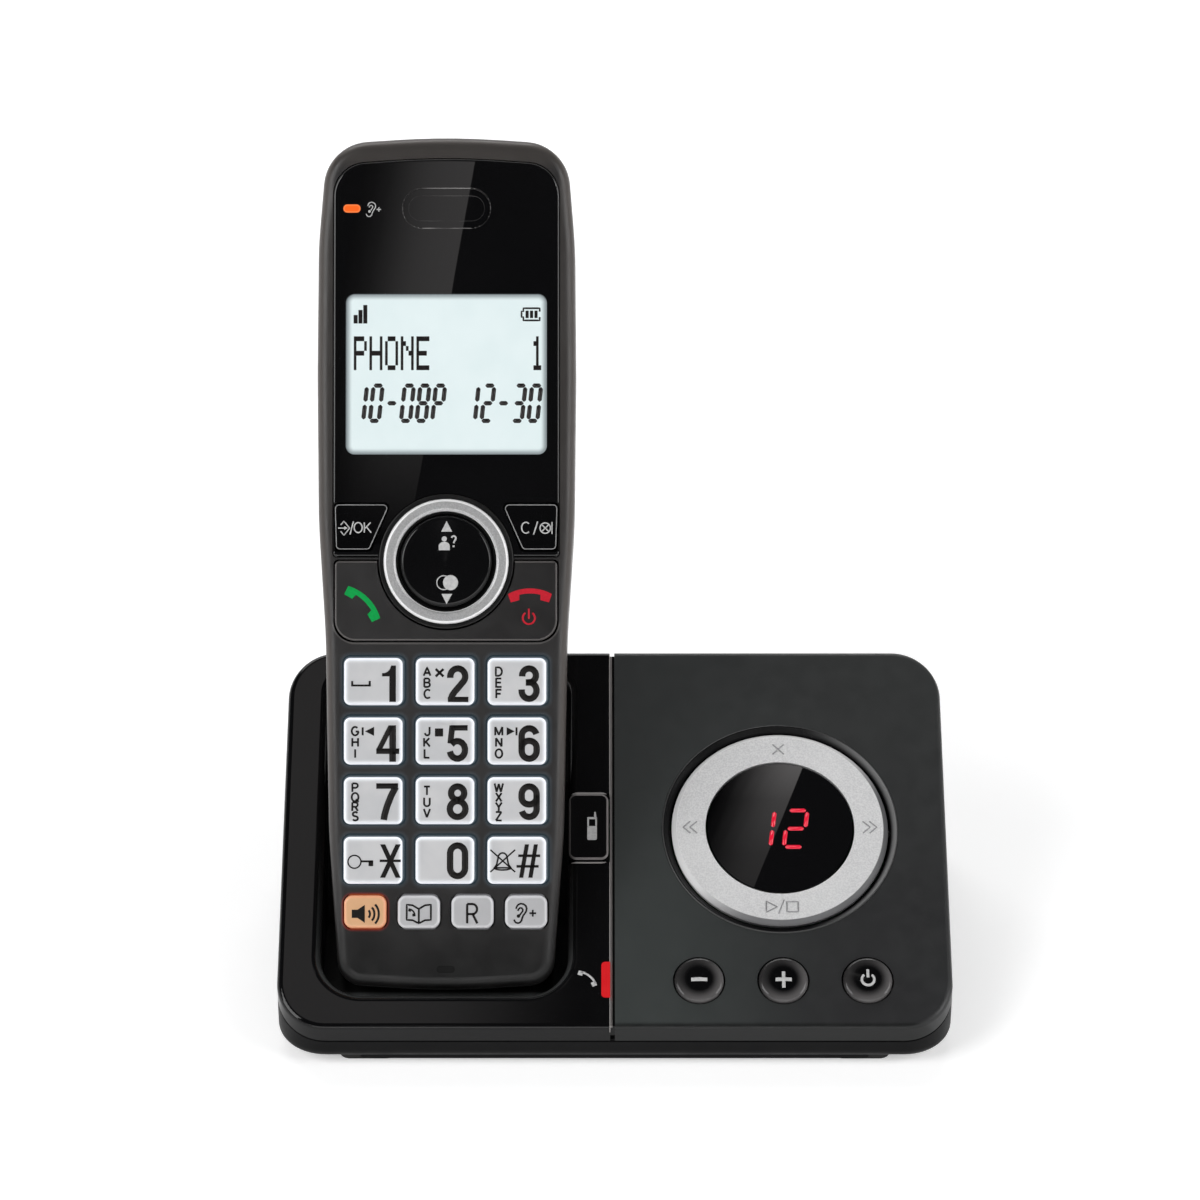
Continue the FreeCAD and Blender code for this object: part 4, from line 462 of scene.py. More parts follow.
def printed(name, body, onto, place, ink, strokes=(), fills=(), thick=0.03):
    """One print in its own flat drawing: lines along paths and filled outlines, laid on a surface."""
    points, edges, widths = [], [], []
    for width, path in strokes:
        closed, tapered = path[0] == path[-1], isinstance(width, list)
        if not tapered:
            finer = [path[0]]
            for (ax, ay), (bx, by) in zip(path, path[1:]):
                parts = ceil(hypot(bx - ax, by - ay) / 0.4)
                finer += [(ax + (bx - ax) * k / parts, ay + (by - ay) * k / parts) for k in range(1, parts + 1)]
            path = finer
        path = path[:-1] if closed else path
        first, count = len(points), len(path)
        points += [(x, y, 0) for x, y in path]
        widths += width if tapered else [width] * count
        edges += [(first + k, first + (k + 1) % count) for k in range(count if closed else count - 1)]
    mesh = bpy.data.meshes.new(name)
    mesh.from_pydata(points, edges, [])
    mesh.attributes.new("width", "FLOAT", "POINT").data.foreach_set("value", widths)
    piece = grown(name, mesh, stroke, Thickness=float(thick), Ink=ink)
    solid = bmesh.new()
    solid.from_mesh(piece.data)
    for outline in fills:
        low = [solid.verts.new((x, y, 0)) for x, y in outline]
        high = [solid.verts.new((x, y, thick)) for x, y in outline]
        solid.faces.new(low[::-1])
        solid.faces.new(high)
        for k in range(len(outline)):
            after = (k + 1) % len(outline)
            solid.faces.new((low[k], low[after], high[after], high[k]))
    tree, normal = surface_of(onto), place.to_3x3() @ Vector((0, 0, 1))
    normal.normalize()
    for vertex in solid.verts:
        spot = place @ Vector((vertex.co.x, vertex.co.y, 0))
        hit = tree.ray_cast(spot + normal * 0.02, -normal)[0]
        above = vertex.co.z if vertex.co.z > 0 else -0.01
        vertex.co = (hit if hit is not None else spot) + normal * above * 0.001
    bmesh.ops.recalc_face_normals(solid, faces=solid.faces)
    solid.to_mesh(piece.data)
    solid.free()
    piece.data.materials.clear()
    piece.data.materials.append(ink)
    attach(piece, body)


def arc(x, y, rx, ry, start, end, count=14):
    """Points along an ellipse from one angle to another, in degrees."""
    angles = [radians(start + (end - start) * k / count) for k in range(count + 1)]
    return [(x + rx * cos(a), y + ry * sin(a)) for a in angles]


def shifted(paths, x=0, y=0, scale=1, turn=0):
    """A drawing moved, enlarged and turned."""
    c, s = cos(radians(turn)) * scale, sin(radians(turn)) * scale
    return [[(x + c * px - s * py, y + s * px + c * py) for px, py in path] for path in paths]


def lines(width, paths):
    """The paths of a drawing, each with the width of its line."""
    return [(width, path) for path in paths]


def circle(x, y, radius, count=28):
    loop = arc(x, y, radius, radius, 0, 360, count)
    return loop[:-1] + [loop[0]]


def ink(name, dark, light, scale=1800, detail=2, rough=0.4, gleam=0.3, **more):
    """The skin of a print or of a raised sign, a little uneven."""
    skin = Shader(name)
    return skin.finish(Base_Color=skin.cloudy(scale, detail, dark, light), Roughness=rough,
                       Specular_IOR_Level=gleam, **more)


raised_ink = ink("ring_sign", (0.27, 0.27, 0.275, 1), (0.38, 0.38, 0.385, 1), 3200, 2, 0.38, 0.5, Metallic=0.6)
middle_line = (RING_INNER + RING_FLAT) / 2
cross = [[(-1.1, -1.1), (1.1, 1.1)], [(-1.1, 1.1), (1.1, -1.1)]]
chevrons = [[(-1.2, -1.3), (0.2, 0), (-1.2, 1.3)], [(0.1, -1.3), (1.5, 0), (0.1, 1.3)]]
play_stop = [[(-3.0, -1.2), (-3.0, 1.2), (-0.9, 0), (-3.0, -1.2)], [(-0.6, -1.5), (0.5, 1.5)],
             [(1.0, -1.1), (3.2, -1.1), (3.2, 1.1), (1.0, 1.1), (1.0, -1.1)]]
signs = (shifted(cross, 0, middle_line) + shifted(play_stop, 0, -middle_line)
         + shifted(chevrons, middle_line, 0) + shifted(chevrons, -middle_line, 0, 1, 180))
printed("ring_signs", "control_ring", "control_ring", on_slope(RING_U, RING_V), raised_ink,
        lines(0.24, signs), thick=0.08)

# The display window is smoked acrylic, polished flat, and stands still within the ring.
# Its two red digits of seven bars each shine through from the module behind it.
dress(gloss("window_smoke", srgb(5, 5, 6), 0.004, 0.004), "display_window")


def seven_bars(sign, width, height, bar, slant, across, upright):
    """The lit bars of one digit, each a path with blunt points and its widths.

    A flat bar leaves the gap across at each of its ends, and an upright one the gap upright.
    """
    lit = {"0": "abcdef", "1": "bc", "2": "abged", "3": "abgcd", "8": "abcdefg", "P": "abefg", "-": "g"}[sign]
    w, h = width - bar, height - bar
    ends = {"a": ((0, h), (w, h)), "b": ((w, h), (w, h / 2)), "c": ((w, h / 2), (w, 0)), "d": ((0, 0), (w, 0)),
            "e": ((0, h / 2), (0, 0)), "f": ((0, h), (0, h / 2)), "g": ((0, h / 2), (w, h / 2))}
    bars = []
    for key in lit:
        (ax, ay), (bx, by) = ends[key]
        length = hypot(bx - ax, by - ay)
        gap = across if key in "adg" else upright
        path = []
        for t in (gap, gap + bar * 0.38, length - gap - bar * 0.38, length - gap):
            x, y = ax + (bx - ax) * t / length + bar / 2, ay + (by - ay) * t / length + bar / 2
            path.append((x + slant * y, y))
        bars.append(([bar * 0.2, bar, bar, bar * 0.2], path))
    return bars


lit_red = Shader("digit_red")
pulse = lit_red.ramp(lit_red.noise(900, 1), 0.3, 0.7)
red_ink = lit_red.finish(Base_Color=srgb(190, 18, 45), Roughness=0.08,
                         Emission_Color=lit_red.mix(pulse, srgb(212, 10, 44), srgb(228, 16, 52)),
                         Emission_Strength=0.5)
digits = []
for sign, x in (("1", -6.2), ("2", 0.2)):
    for widths, path in seven_bars(sign, 4.6, 8.9, 0.82, 0.13, 0.3, 0.36):
        digits.append((widths, [(px + x, py - 4.7) for px, py in path]))
printed("message_count", "base", "display_window", on_slope(RING_U, RING_V), red_ink, digits)

# Three round buttons of black gloss acrylic stand in holes of the panel, each on its rubber dome.
# Their signs are printed in silver grey: less, more, and on or off.
BUTTON_PITCH, BUTTON_V = 16.2, 9.8
button = Shader("button_gloss")
u, v = local(button, SLOPE)[:2]
side = button.minus(u, RING_U)
row = button.math("ROUND", button.math("DIVIDE", side, BUTTON_PITCH), 0.0)
side, high = button.minus(side, button.times(row, BUTTON_PITCH)), button.minus(v, BUTTON_V)
# Painted reflection: a grey crescent on each dome's rim, strongest at its lower right.
dome_reflection = button.times(button.ramp(button.length(side, high), 2.3, 4.4),
                    button.ramp(button.minus(side, high), -5.5, 4.5, 0.25, 1.0))
tone = button.mix(dome_reflection, button.cloudy(50, 3, srgb(5, 5, 6), srgb(7, 7, 8)), srgb(92, 90, 90))
dress(polished(button, tone, 0.07, 0.1, 0.3), "volume_down_button", "volume_up_button", "power_button")
pale_ink = ink("pale_print", srgb(186, 186, 186), srgb(204, 204, 203))
minus = (0.74, [(-1.55, 0), (1.55, 0)])
BUTTON_SIGNS = {
    "volume_down_button": [minus],
    "volume_up_button": [minus, (0.66, [(0, -1.7), (0, 1.7)])],
    "power_button": [(0.5, arc(0, 0, 1.2, 1.2, 128, 412, 26)), (0.55, [(0, 0.35), (0, 2.2)])],
}
for place, (name, strokes) in enumerate(BUTTON_SIGNS.items()):
    printed(name + "_sign", name, name, on_slope(BUTTON_PITCH * (place + 1), BUTTON_V - 0.3), pale_ink,
            strokes, thick=0.07)

# The handset finder is a gloss key that wraps over the shoulder of the well.
# It bears a small silver picture of a handset.
finder = Shader("finder_gloss")
u, v, w = local(finder, SLOPE)
# Painted highlight: a grey line along the key's edges on its top, fainter to the left where it wraps into the well.
line = finder.times(line_between(finder, finder_edge(finder, (u, v)), -0.34, 0.2), finder.ramp(u, -8.6, -7.2, 0.3, 1.0))
tone = finder.mix(finder.times(finder.ramp(w, 0.2, 0.4), line),
                  finder.cloudy(50, 3, srgb(9, 9, 10), srgb(12, 12, 13)), srgb(128, 124, 123))
dress(polished(finder, tone, 0.06, 0.09, 0.3), "find_handset_button")


def bar_shape(left, right, low, high, corner=0.0):
    """A filled rectangle, its corners rounded where a radius is given."""
    if not corner:
        return [(left, low), (right, low), (right, high), (left, high)]
    loop = []
    for x, y, start in ((right - corner, low + corner, -90), (right - corner, high - corner, 0),
                        (left + corner, high - corner, 90), (left + corner, low + corner, 180)):
        loop += arc(x, y, corner, corner, start, start + 90, 4)
    return loop


handset_picture = [bar_shape(-0.95, 0.95, -3.1, -0.05, 0.3), bar_shape(-0.95, 0.95, 1.5, 1.95, 0.15),
                   bar_shape(-0.95, -0.62, -0.1, 1.7), bar_shape(0.62, 0.95, -0.1, 1.7),
                   [(0.35, 1.9), (0.85, 1.9), (0.68, 3.1), (0.45, 3.1)]]
printed("finder_picture", "find_handset_button", "find_handset_button", on_slope(-4.4, 43.15), pale_ink,
        fills=handset_picture)

# The in-use light is a solid red lens moulded in one piece, which glows beside the split.
# A small silver handset is printed to its left.
red = Shader("red_lens")
glow = red.ramp(red.noise(300, 2), 0.3, 0.7)
dress(red.finish(Base_Color=srgb(180, 20, 26), Roughness=0.12,
                 Emission_Color=red.mix(glow, srgb(205, 26, 32), srgb(222, 40, 44)), Emission_Strength=0.36),
      "in_use_light")


def bow(half, rise, count=12):
    """Points along a flat arch, from its left end over its top to its right end."""
    radius = (half * half + rise * rise) / (2 * rise)
    swing = atan2(half, radius - rise)
    angles = [swing * (2 * k / count - 1) for k in range(count + 1)]
    return [(sin(angle) * radius, cos(angle) * radius - radius) for angle in angles]


def receiver(width, rise, line, end_long, end_deep):
    """A telephone receiver, seen from its side: a bowed grip and two blunt ends."""
    half = width / 2 - end_long * 0.45
    swing = atan2(half, (half * half + rise * rise) / (2 * rise) - rise)
    ends = []
    for side in (-1, 1):
        block = bar_shape(-end_long / 2, end_long / 2, -end_deep, line / 2)
        ends += shifted([block], side * half, -rise, 1, -side * swing * 180 / pi)
    return bow(half, rise, 16), ends


grip, ends = receiver(6.0, 0.55, 0.42, 1.2, 1.0)
printed("in_use_picture", "base", "cradle_cover", on_slope(-4.85, 10.75), pale_ink,
        lines(0.42, shifted([grip], 0, 0, 0.76, -42)), shifted(ends, 0, 0, 0.76, -42))

# Two sprung pins in the well feed the handset: turned brass, nickel plated.
# The handset has two stamped plates of the same finish in its foot.
plated = Shader("contact_plate")
turning = plated.noise(2200, 2)
dress(plated.finish(Base_Color=plated.mix(plated.ramp(turning, 0.3, 0.7), (0.72, 0.66, 0.52, 1), (0.82, 0.78, 0.66, 1)),
                    Metallic=1.0, Roughness=plated.ramp(turning, 0.3, 0.7, 0.2, 0.34)),
      "charging_pin_left", "charging_pin_right", "handset_charge_contacts")

# The handset's front housing is a satin moulding in warm dark grey, darker towards its foot.
# Light from the lit keys spills on the plastic round each of them.
KEY_W, KEY_H, KEY_CORNER, PITCH_X, PITCH_Y, FIRST_Y = 11.75, 9.4, 1.3, 13.8, 11.45, 31.1
SMALL_W, SMALL_H, SMALL_CORNER, SMALL_PITCH, SMALL_Y = 8.1, 6.3, 1.6, 10.3, 21.05
PAD_Y, BAR_TOP, BAR_HALF = 88.4, 88.5, 21.4


def nearest_column(skin, x, first, pitch):
    """The distance across to the nearest of two pairs of columns, the inner one at first."""
    across = skin.abs(x)
    return skin.min(skin.abs(skin.minus(across, first)), skin.abs(skin.minus(across, first + pitch)))


def key_edge(skin, x, y, left=0.0, low=0.0, trim_x=0.0, trim_y=0.0):
    """How far a point lies outside the nearest numbered key, or outside a smaller field on it."""
    row = skin.math("DIVIDE", skin.minus(y, FIRST_Y), PITCH_Y)
    row = skin.math("ROUND", skin.min(skin.max(row, 0.0), 3.0), 0.0)
    up = skin.minus(skin.minus(y, FIRST_Y - low), skin.times(row, PITCH_Y))
    across = nearest_column(skin, skin.plus(x, left), 0.0, PITCH_X)
    return edge_distance(skin, across, up, KEY_W / 2 - trim_x, KEY_H / 2 - trim_y, KEY_CORNER - 0.1)


def small_edge(skin, across, y):
    """How far a point lies outside a small key, from how far across it is from the key's middle."""
    return edge_distance(skin, across, skin.minus(y, SMALL_Y), SMALL_W / 2, SMALL_H / 2, SMALL_CORNER)


def bar_edge(skin, x, y):
    """How far a point lies outside the call and end bar."""
    low = edge_distance(skin, x, skin.minus(y, BAR_TOP - 3.7), BAR_HALF, 11.69, 4.0)
    return skin.max(low, skin.minus(y, BAR_TOP))


def housing_paint(name, light, dark, with_painted_light):
    """The satin of a handset shell, which pales up the grip; only the front one gets spilt key light, painted
    highlights and a painted shadow.
    """
    skin = Shader(name)
    x, y = local(skin, HANDSET)[:2]
    tone = skin.mix(skin.ramp(y, 3, 36), dark, light)
    tone = skin.mix(skin.ramp(skin.noise(80, 4), 0.35, 0.7, 0, 0.2), tone, shade(light, 1.25))
    if not with_painted_light:
        return satin(skin, tone)
    lean = facing(skin, HANDSET)
    # Painted highlight: surfaces that turn to the sides and the top are painted lighter, less so towards the foot.
    side_highlight = skin.times(skin.ramp(skin.times(skin.math("SIGN", x), lean[0]), 0.3, 0.8),
                       skin.ramp(skin.abs(x), 19.6, 19.8))
    crown_highlight = skin.times(skin.ramp(lean[1], 0.3, 0.8), skin.ramp(y, 160, 161))
    cheek = skin.times(skin.ramp(skin.abs(x), 21.6, 22.0), skin.ramp(y, 70, 110))
    brow = skin.max(skin.ramp(y, 163.5, 166.5), skin.times(0.7, cheek))
    tone = skin.mix(brow, tone, srgb(60, 57, 55))
    tone = skin.mix(skin.times(skin.max(side_highlight, crown_highlight), skin.ramp(y, 16, 62, 0.0, 1.0)), tone, srgb(80, 75, 72))
    # Painted shadow: a dark ring round the pad.
    hub = skin.length(x, skin.minus(y, PAD_Y))
    tone = skin.mix(skin.ramp(hub, 12.6, 13.3, 1.0, 0.0), tone, srgb(16, 16, 16))
    # Painted highlight: a pale line under the lower edge of the call bar.
    bar_sill_highlight = skin.times(line_between(skin, bar_edge(skin, x, y), 0.35, 0.6), skin.ramp(y, 76, 77, 1.0, 0.0))
    tone = skin.mix(bar_sill_highlight, tone, srgb(82, 80, 79))
    halo = skin.ramp(key_edge(skin, x, y), 0.2, 1.1, 1.0, 0.0)
    ember = skin.ramp(small_edge(skin, skin.plus(x, 1.5 * SMALL_PITCH), y), 0.25, 0.8, 1.0, 0.0)
    spilt = skin.mix(ember, skin.mix(halo, (0, 0, 0, 1), srgb(66, 80, 90)), srgb(150, 28, 8))
    return satin(skin, tone, Emission_Color=spilt, Emission_Strength=0.32)


dress(housing_paint("front_satin", srgb(47, 46, 46), srgb(11, 11, 11), True), "handset_front_housing")

mesh_black = grained("dust_mesh", srgb(15, 15, 15), 0.7, 0.00004, 3000, gleam=0.15)
printed("microphone_mesh", "handset", "handset_front_housing", on_handset(0, 10), mesh_black,
        fills=[bar_shape(-1.75, 1.75, -0.7, 0.7, 0.66)], thick=0.02)

# The rear housing and the battery door share one satin finish, a little warmer than the front.
# The door slides down its two rails.
dress(housing_paint("rear_satin", srgb(64, 60, 58), srgb(30, 28, 28), False), "handset_rear_housing", "battery_door")

# The lens is one acrylic plate, clear but painted black from behind, with polished edges that carry a painted
# highlight.
# It frames the display, and an orange lens for louder sound stands beside the printed ear.
EAR_Y = 156.7
lens = Shader("lens_gloss")
x, y = local(lens, HANDSET)[:2]
bevel_highlight = lens.max(lens.ramp(lens.abs(x), 21.0, 21.1), lens.ramp(y, 160.2, 160.4))
bevel_highlight = lens.times(bevel_highlight, lens.ramp(facing(lens, HANDSET)[2], 0.5, 0.94, 1.0, 0.0))
tone = lens.mix(bevel_highlight, lens.cloudy(50, 3, srgb(5, 5, 6), srgb(7, 7, 8)), srgb(104, 103, 103))
lens_skin = polished(lens, tone, 0.004, 0.008)
dress(lens_skin, "handset_lens")
orange = Shader("orange_lens")
x, y = local(orange, HANDSET)[:2]
inset = edge_distance(orange, orange.plus(x, 18.27), orange.minus(y, EAR_Y - 0.05), 1.66, 0.8, 0.78)
hot = orange.mix(orange.ramp(inset, -0.36, -0.12), srgb(236, 96, 26), srgb(246, 150, 92))
sunk = orange.ramp(inset, -0.05, 0.03)
dress(orange.finish(Base_Color=orange.mix(sunk, srgb(215, 88, 28), srgb(8, 8, 8)), Roughness=0.15,
                    Emission_Color=orange.mix(sunk, hot, (0, 0, 0, 1)), Emission_Strength=0.5), "boost_light")
EAR = [[(0.42, 2.15), (0.48, 2.45), (0.7, 2.75), (1.05, 2.9), (1.45, 2.84), (1.78, 2.6), (1.92, 2.25), (1.86, 1.85),
        (1.66, 1.5), (1.42, 1.2), (1.28, 0.85), (1.2, 0.5), (1.0, 0.22), (0.7, 0.1), (0.38, 0.18), (0.18, 0.42),
        (0.13, 0.62)],
       [(0.68, 1.85), (0.75, 2.1), (0.95, 2.28), (1.2, 2.26), (1.37, 2.06), (1.33, 1.8), (1.14, 1.55), (1.0, 1.35),
        (0.85, 1.2)]]
EAR_DOT = [circle(0.75, 1.12, 0.26, 12)]
plus = [[(-0.5, 0), (0.5, 0)], [(0, -0.5), (0, 0.5)]]
printed("boost_picture", "handset", "handset_lens", on_handset(-15.62, 154.98), pale_ink,
        lines(0.18, EAR) + lines(0.2, shifted(plus, 2.55, 1.5, 0.84)), EAR_DOT)


def oval(width, height):
    """The outline of the ear opening, with half-round ends."""
    radius, half = height / 2, width / 2 - height / 2
    return arc(half, EAR_Y, radius, radius, -90, 90, 14) + arc(-half, EAR_Y, radius, radius, 90, 270, 14)


# Painted highlight: pale lines along the edges of the sunken ear oval, where they would catch the light.
ear_glint = Shader("painted_ear_glint")
ear_glint_ink = ear_glint.finish(Base_Color=ear_glint.cloudy(130, 2, srgb(60, 58, 58), srgb(132, 130, 129), 0.35, 0.65),
                         Roughness=0.4, Specular_IOR_Level=0.3)
printed("ear_inlay", "handset", "handset_lens", on_handset(), lens_skin, fills=[oval(14.62, 4.82)])
printed("ear_lines", "handset", "handset_lens", on_handset(), ear_glint_ink,
        lines(0.2, [loop + loop[:1] for loop in (oval(14.5, 4.7), oval(17.0, 7.75))]), thick=0.04)

# The display is a lit liquid crystal in a white tray, pale cyan, with the shade of its frame at the edges.
# Its dots and bars are dark, and the rows are generic.
lcd = Shader("lcd_glass")
x, y = local(lcd, HANDSET)[:2]
inset = edge_distance(lcd, x, lcd.minus(y, 124.58), 19.4, 15.51, 1.7)
cell = lcd.cloudy(120, 2, srgb(229, 243, 244), srgb(233, 246, 247))
cell = lcd.mix(lcd.ramp(inset, -1.3, -0.1), cell, srgb(150, 160, 163))
dress(lcd.finish(Base_Color=lcd.mix(0.55, cell, (0, 0, 0, 1)), Roughness=0.12, Emission_Color=cell,
                 Emission_Strength=0.56), "lcd_module")

crystal_ink = ink("crystal_dark", srgb(26, 22, 22), srgb(36, 32, 32), 2000, 1, 0.3)
DOTS = {
    "P": "11110 10001 10001 11110 10000 10000 10000", "H": "10001 10001 10001 11111 10001 10001 10001",
    "O": "01110 10001 10001 10001 10001 10001 01110", "N": "10001 11001 10101 10011 10001 10001 10001",
    "E": "11111 10000 10000 11110 10000 10000 11111", "1": "00100 01100 00100 00100 00100 00100 01110",
}
dots = Growing("dot_rows", Dots="Geometry", Size="Vector", Ink="Material")
block = dots.add("GeometryNodeMeshCube", Size=dots.given["Size"])
dots.end(dots.add("GeometryNodeInstanceOnPoints", Points=dots.given["Dots"], Instance=block))


def dot_points(word, left, top):
    """Where the dark dots of a word lie, in the display's millimetres."""
    spots = []
    for place, sign in enumerate(word):
        for row, line in enumerate(DOTS[sign].split()):
            spots += [(left + place * 3.02 + column * 0.5, top - row * 0.935)
                      for column, dark in enumerate(line) if dark == "1"]
    return spots


spots = dot_points("PHONE", -17.62, 131.45) + dot_points("1", 16.55, 131.45)
mesh = bpy.data.meshes.new("display_word")
mesh.from_pydata([(x, y, -0.25) for x, y in spots], [], [])
word = grown("display_word", mesh, dots, Size=(0.5, 0.93, 0.06), Ink=crystal_ink)
word.data.transform(on_handset())
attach(word, "handset")

bars = []
for text, left in (("10-08P", -18.25), ("12-30", 3.3)):
    for place, sign in enumerate(text):
        for widths, path in seven_bars(sign, 2.58, 7.65, 0.84, 0.11, 0.02, 0.3):
            bars.append((widths, [(px + left + place * 3.01, py + 115.15) for px, py in path]))
bars.append((0.36, [(18.0, 136.7), (18.0, 137.35), (14.85, 137.35), (14.85, 136.75), (14.5, 136.75), (14.5, 135.65),
                    (14.85, 135.65), (14.85, 135.0), (18.0, 135.0), (18.0, 135.65)]))
blocks = [bar_shape(-17.92 + k * 0.93, -17.14 + k * 0.93, 134.4, 136.05 + k * 0.97) for k in range(3)]
blocks += [bar_shape(15.27 + k * 0.86, 15.88 + k * 0.86, 135.45, 136.9) for k in range(3)]
printed("display_figures", "handset", "lcd_module", on_handset(), crystal_ink, bars, blocks)

# The ring round the pad is an anodised aluminium turning: satin on its flat, with two polished edges painted as white
# highlights.
# Its grain runs fine and even.
anodised = Shader("pad_ring")
x, y = local(anodised, HANDSET)[:2]
reach = anodised.length(x, anodised.minus(y, PAD_Y))
grain = anodised.noise(3600, 2)
edge_glint = anodised.max(anodised.ramp(reach, 11.45, 11.65), anodised.ramp(reach, 9.8, 9.95, 1.0, 0.0))
tone = anodised.mix(anodised.ramp(grain, 0.3, 0.7), (0.41, 0.41, 0.415, 1), (0.54, 0.54, 0.54, 1))
dress(anodised.finish(Base_Color=anodised.mix(edge_glint, tone, (0.95, 0.95, 0.95, 1)),
                      Metallic=anodised.ramp(edge_glint, 0, 1, 0.55, 0.1),
                      Roughness=anodised.ramp(edge_glint, 0, 1, 0.42, 0.4),
                      Normal=anodised.bump(grain, 0.000007, 0.5)), "nav_ring")

# The round pad is a domed gloss moulding that rocks up and down.
# Its signs are arrows, a caller with a question mark and two overlapping discs for the last numbers.
dress(gloss("nav_gloss", srgb(8, 8, 9), 0.12, gleam=0.3), "nav_key")
question = arc(1.42, 4.5, 0.42, 0.45, 165, -50, 10) + [(1.5, 3.85), (1.42, 3.55)]
nav_fills = [[(0.06, 7.84), (-0.97, 5.79), (1.13, 5.79)], [(0.06, -8.15), (-0.9, -6.2), (1.13, -6.2)],
             circle(-0.38, 4.39, 0.5, 18), [(0.68, 2.2), (0.68, 2.9)] + arc(-0.38, 3.0, 1.06, 0.85, 0, 180, 10)
             + [(-1.44, 2.2)], bar_shape(1.22, 1.6, 2.8, 3.15), circle(0.83, -4.04, 1.45)]
printed("pad_signs", "nav_key", "nav_key", on_handset(0.06, 88.32), pale_ink,
        [(0.2, circle(-0.47, -4.04, 1.34)), (0.34, question)], nav_fills)

# Two soft keys of black gloss acrylic flank the pad, each with a painted highlight line round its face where its rim
# catches the light.
# The left one confirms and the right one cancels.
dress(gloss("soft_key_gloss", srgb(6, 6, 7), 0.05, gleam=0.35), "ok_key", "cancel_key")
rim_glint_ink = ink("painted_rim_glint", srgb(138, 138, 138), srgb(158, 158, 158))


def rounded_path(corners, radius):
    """A closed path through corners, each cut by a short arc."""
    path = []
    for k, corner in enumerate(corners):
        here = Vector(corner)
        before = (Vector(corners[k - 1]) - here).normalized()
        after = (Vector(corners[(k + 1) % len(corners)]) - here).normalized()
        half = before.angle(after) / 2
        middle = here + (before + after).normalized() * radius / sin(half)
        start = here + before * radius * cos(half) / sin(half) - middle
        end = here + after * radius * cos(half) / sin(half) - middle
        turn = start.angle_signed(end)
        for step in range(6):
            angle = -turn * step / 5
            path.append((middle.x + start.x * cos(angle) - start.y * sin(angle),
                         middle.y + start.x * sin(angle) + start.y * cos(angle)))
    return path + [path[0]]


LETTERS = {
    "A": [[(0, 0), (0.4, 1), (0.8, 0)], [(0.14, 0.33), (0.66, 0.33)]],
    "B": [[(0, 1), (0, 0)], [(0, 1)] + arc(0.36, 0.76, 0.26, 0.24, 90, -90, 8) + [(0, 0.52)],
          [(0.3, 0.52)] + arc(0.38, 0.26, 0.28, 0.26, 90, -90, 8) + [(0, 0)]],
    "C": [arc(0.42, 0.5, 0.4, 0.5, 48, 312, 18)],
    "D": [[(0, 0), (0, 1)] + arc(0.3, 0.5, 0.42, 0.5, 90, -90, 12) + [(0, 0)]],
    "E": [[(0.62, 1), (0, 1)], [(0, 1.08), (0, -0.08)], [(0, 0), (0.65, 0)], [(0, 0.52), (0.58, 0.52)]],
    "F": [[(0.6, 1), (0, 1)], [(0, 1.08), (0, 0)], [(0, 0.52), (0.52, 0.52)]],
    "G": [arc(0.42, 0.5, 0.4, 0.5, 48, 340, 20) + [(0.82, 0.45)], [(0.86, 0.45), (0.48, 0.45)]],
    "H": [[(0, 1), (0, 0)], [(0.68, 1), (0.68, 0)], [(0, 0.52), (0.68, 0.52)]],
    "I": [[(0.4, 1), (0.4, 0)]],
    "J": [[(0.6, 1), (0.6, 0.28)] + arc(0.33, 0.28, 0.27, 0.28, 0, -180, 10)],
    "K": [[(0, 1), (0, 0)], [(0.62, 1), (0, 0.36)], [(0.2, 0.58), (0.68, 0)]],
    "L": [[(0, 1), (0, -0.08)], [(0, 0), (0.58, 0)]],
    "M": [[(0, 0), (0, 1)], [(0, 1), (0.42, 0.05)], [(0.42, 0.05), (0.84, 1)], [(0.84, 1), (0.84, 0)]],
    "N": [[(0, 0), (0, 1)], [(0, 1), (0.66, 0)], [(0.66, 0), (0.66, 1)]],
    "O": [arc(0.42, 0.5, 0.4, 0.5, 0, 360, 22)[:-1] + [(0.82, 0.5)]],
    "P": [[(0, 1), (0, 0)], [(0, 1)] + arc(0.36, 0.74, 0.28, 0.26, 90, -90, 8) + [(0, 0.48)]],
    "S": [arc(0.35, 0.75, 0.29, 0.25, 30, 270, 12) + arc(0.35, 0.25, 0.31, 0.25, 90, -150, 12)],
    "T": [[(0, 1), (0.72, 1)], [(0.36, 1), (0.36, 0)]],
    "U": [[(0, 1), (0, 0.3)] + arc(0.33, 0.3, 0.33, 0.3, 180, 360, 12) + [(0.66, 1)]],
    "V": [[(0, 1), (0.36, 0)], [(0.36, 0), (0.72, 1)]],
    "W": [[(0, 1), (0.25, 0)], [(0.25, 0), (0.5, 0.95)], [(0.5, 0.95), (0.75, 0)], [(0.75, 0), (1, 1)]],
    "X": [[(0, 0), (0.66, 1)], [(0, 1), (0.66, 0)]],
    "Y": [[(0, 1), (0.36, 0.46)], [(0.72, 1), (0.36, 0.46)], [(0.36, 0.5), (0.36, 0)]],
    "Z": [[(0, 1), (0.68, 1)], [(0.66, 1), (0.02, 0)], [(0, 0), (0.7, 0)]],
}
LETTERS["Q"] = LETTERS["O"] + [[(0.5, 0.25), (0.84, -0.06)]]
LETTERS["R"] = LETTERS["P"] + [[(0.36, 0.48), (0.66, 0)]]
SOFT_FRAME = [(21.36, 99.3), (11.05, 99.3), (14.85, 90.8), (21.1, 90.8)]
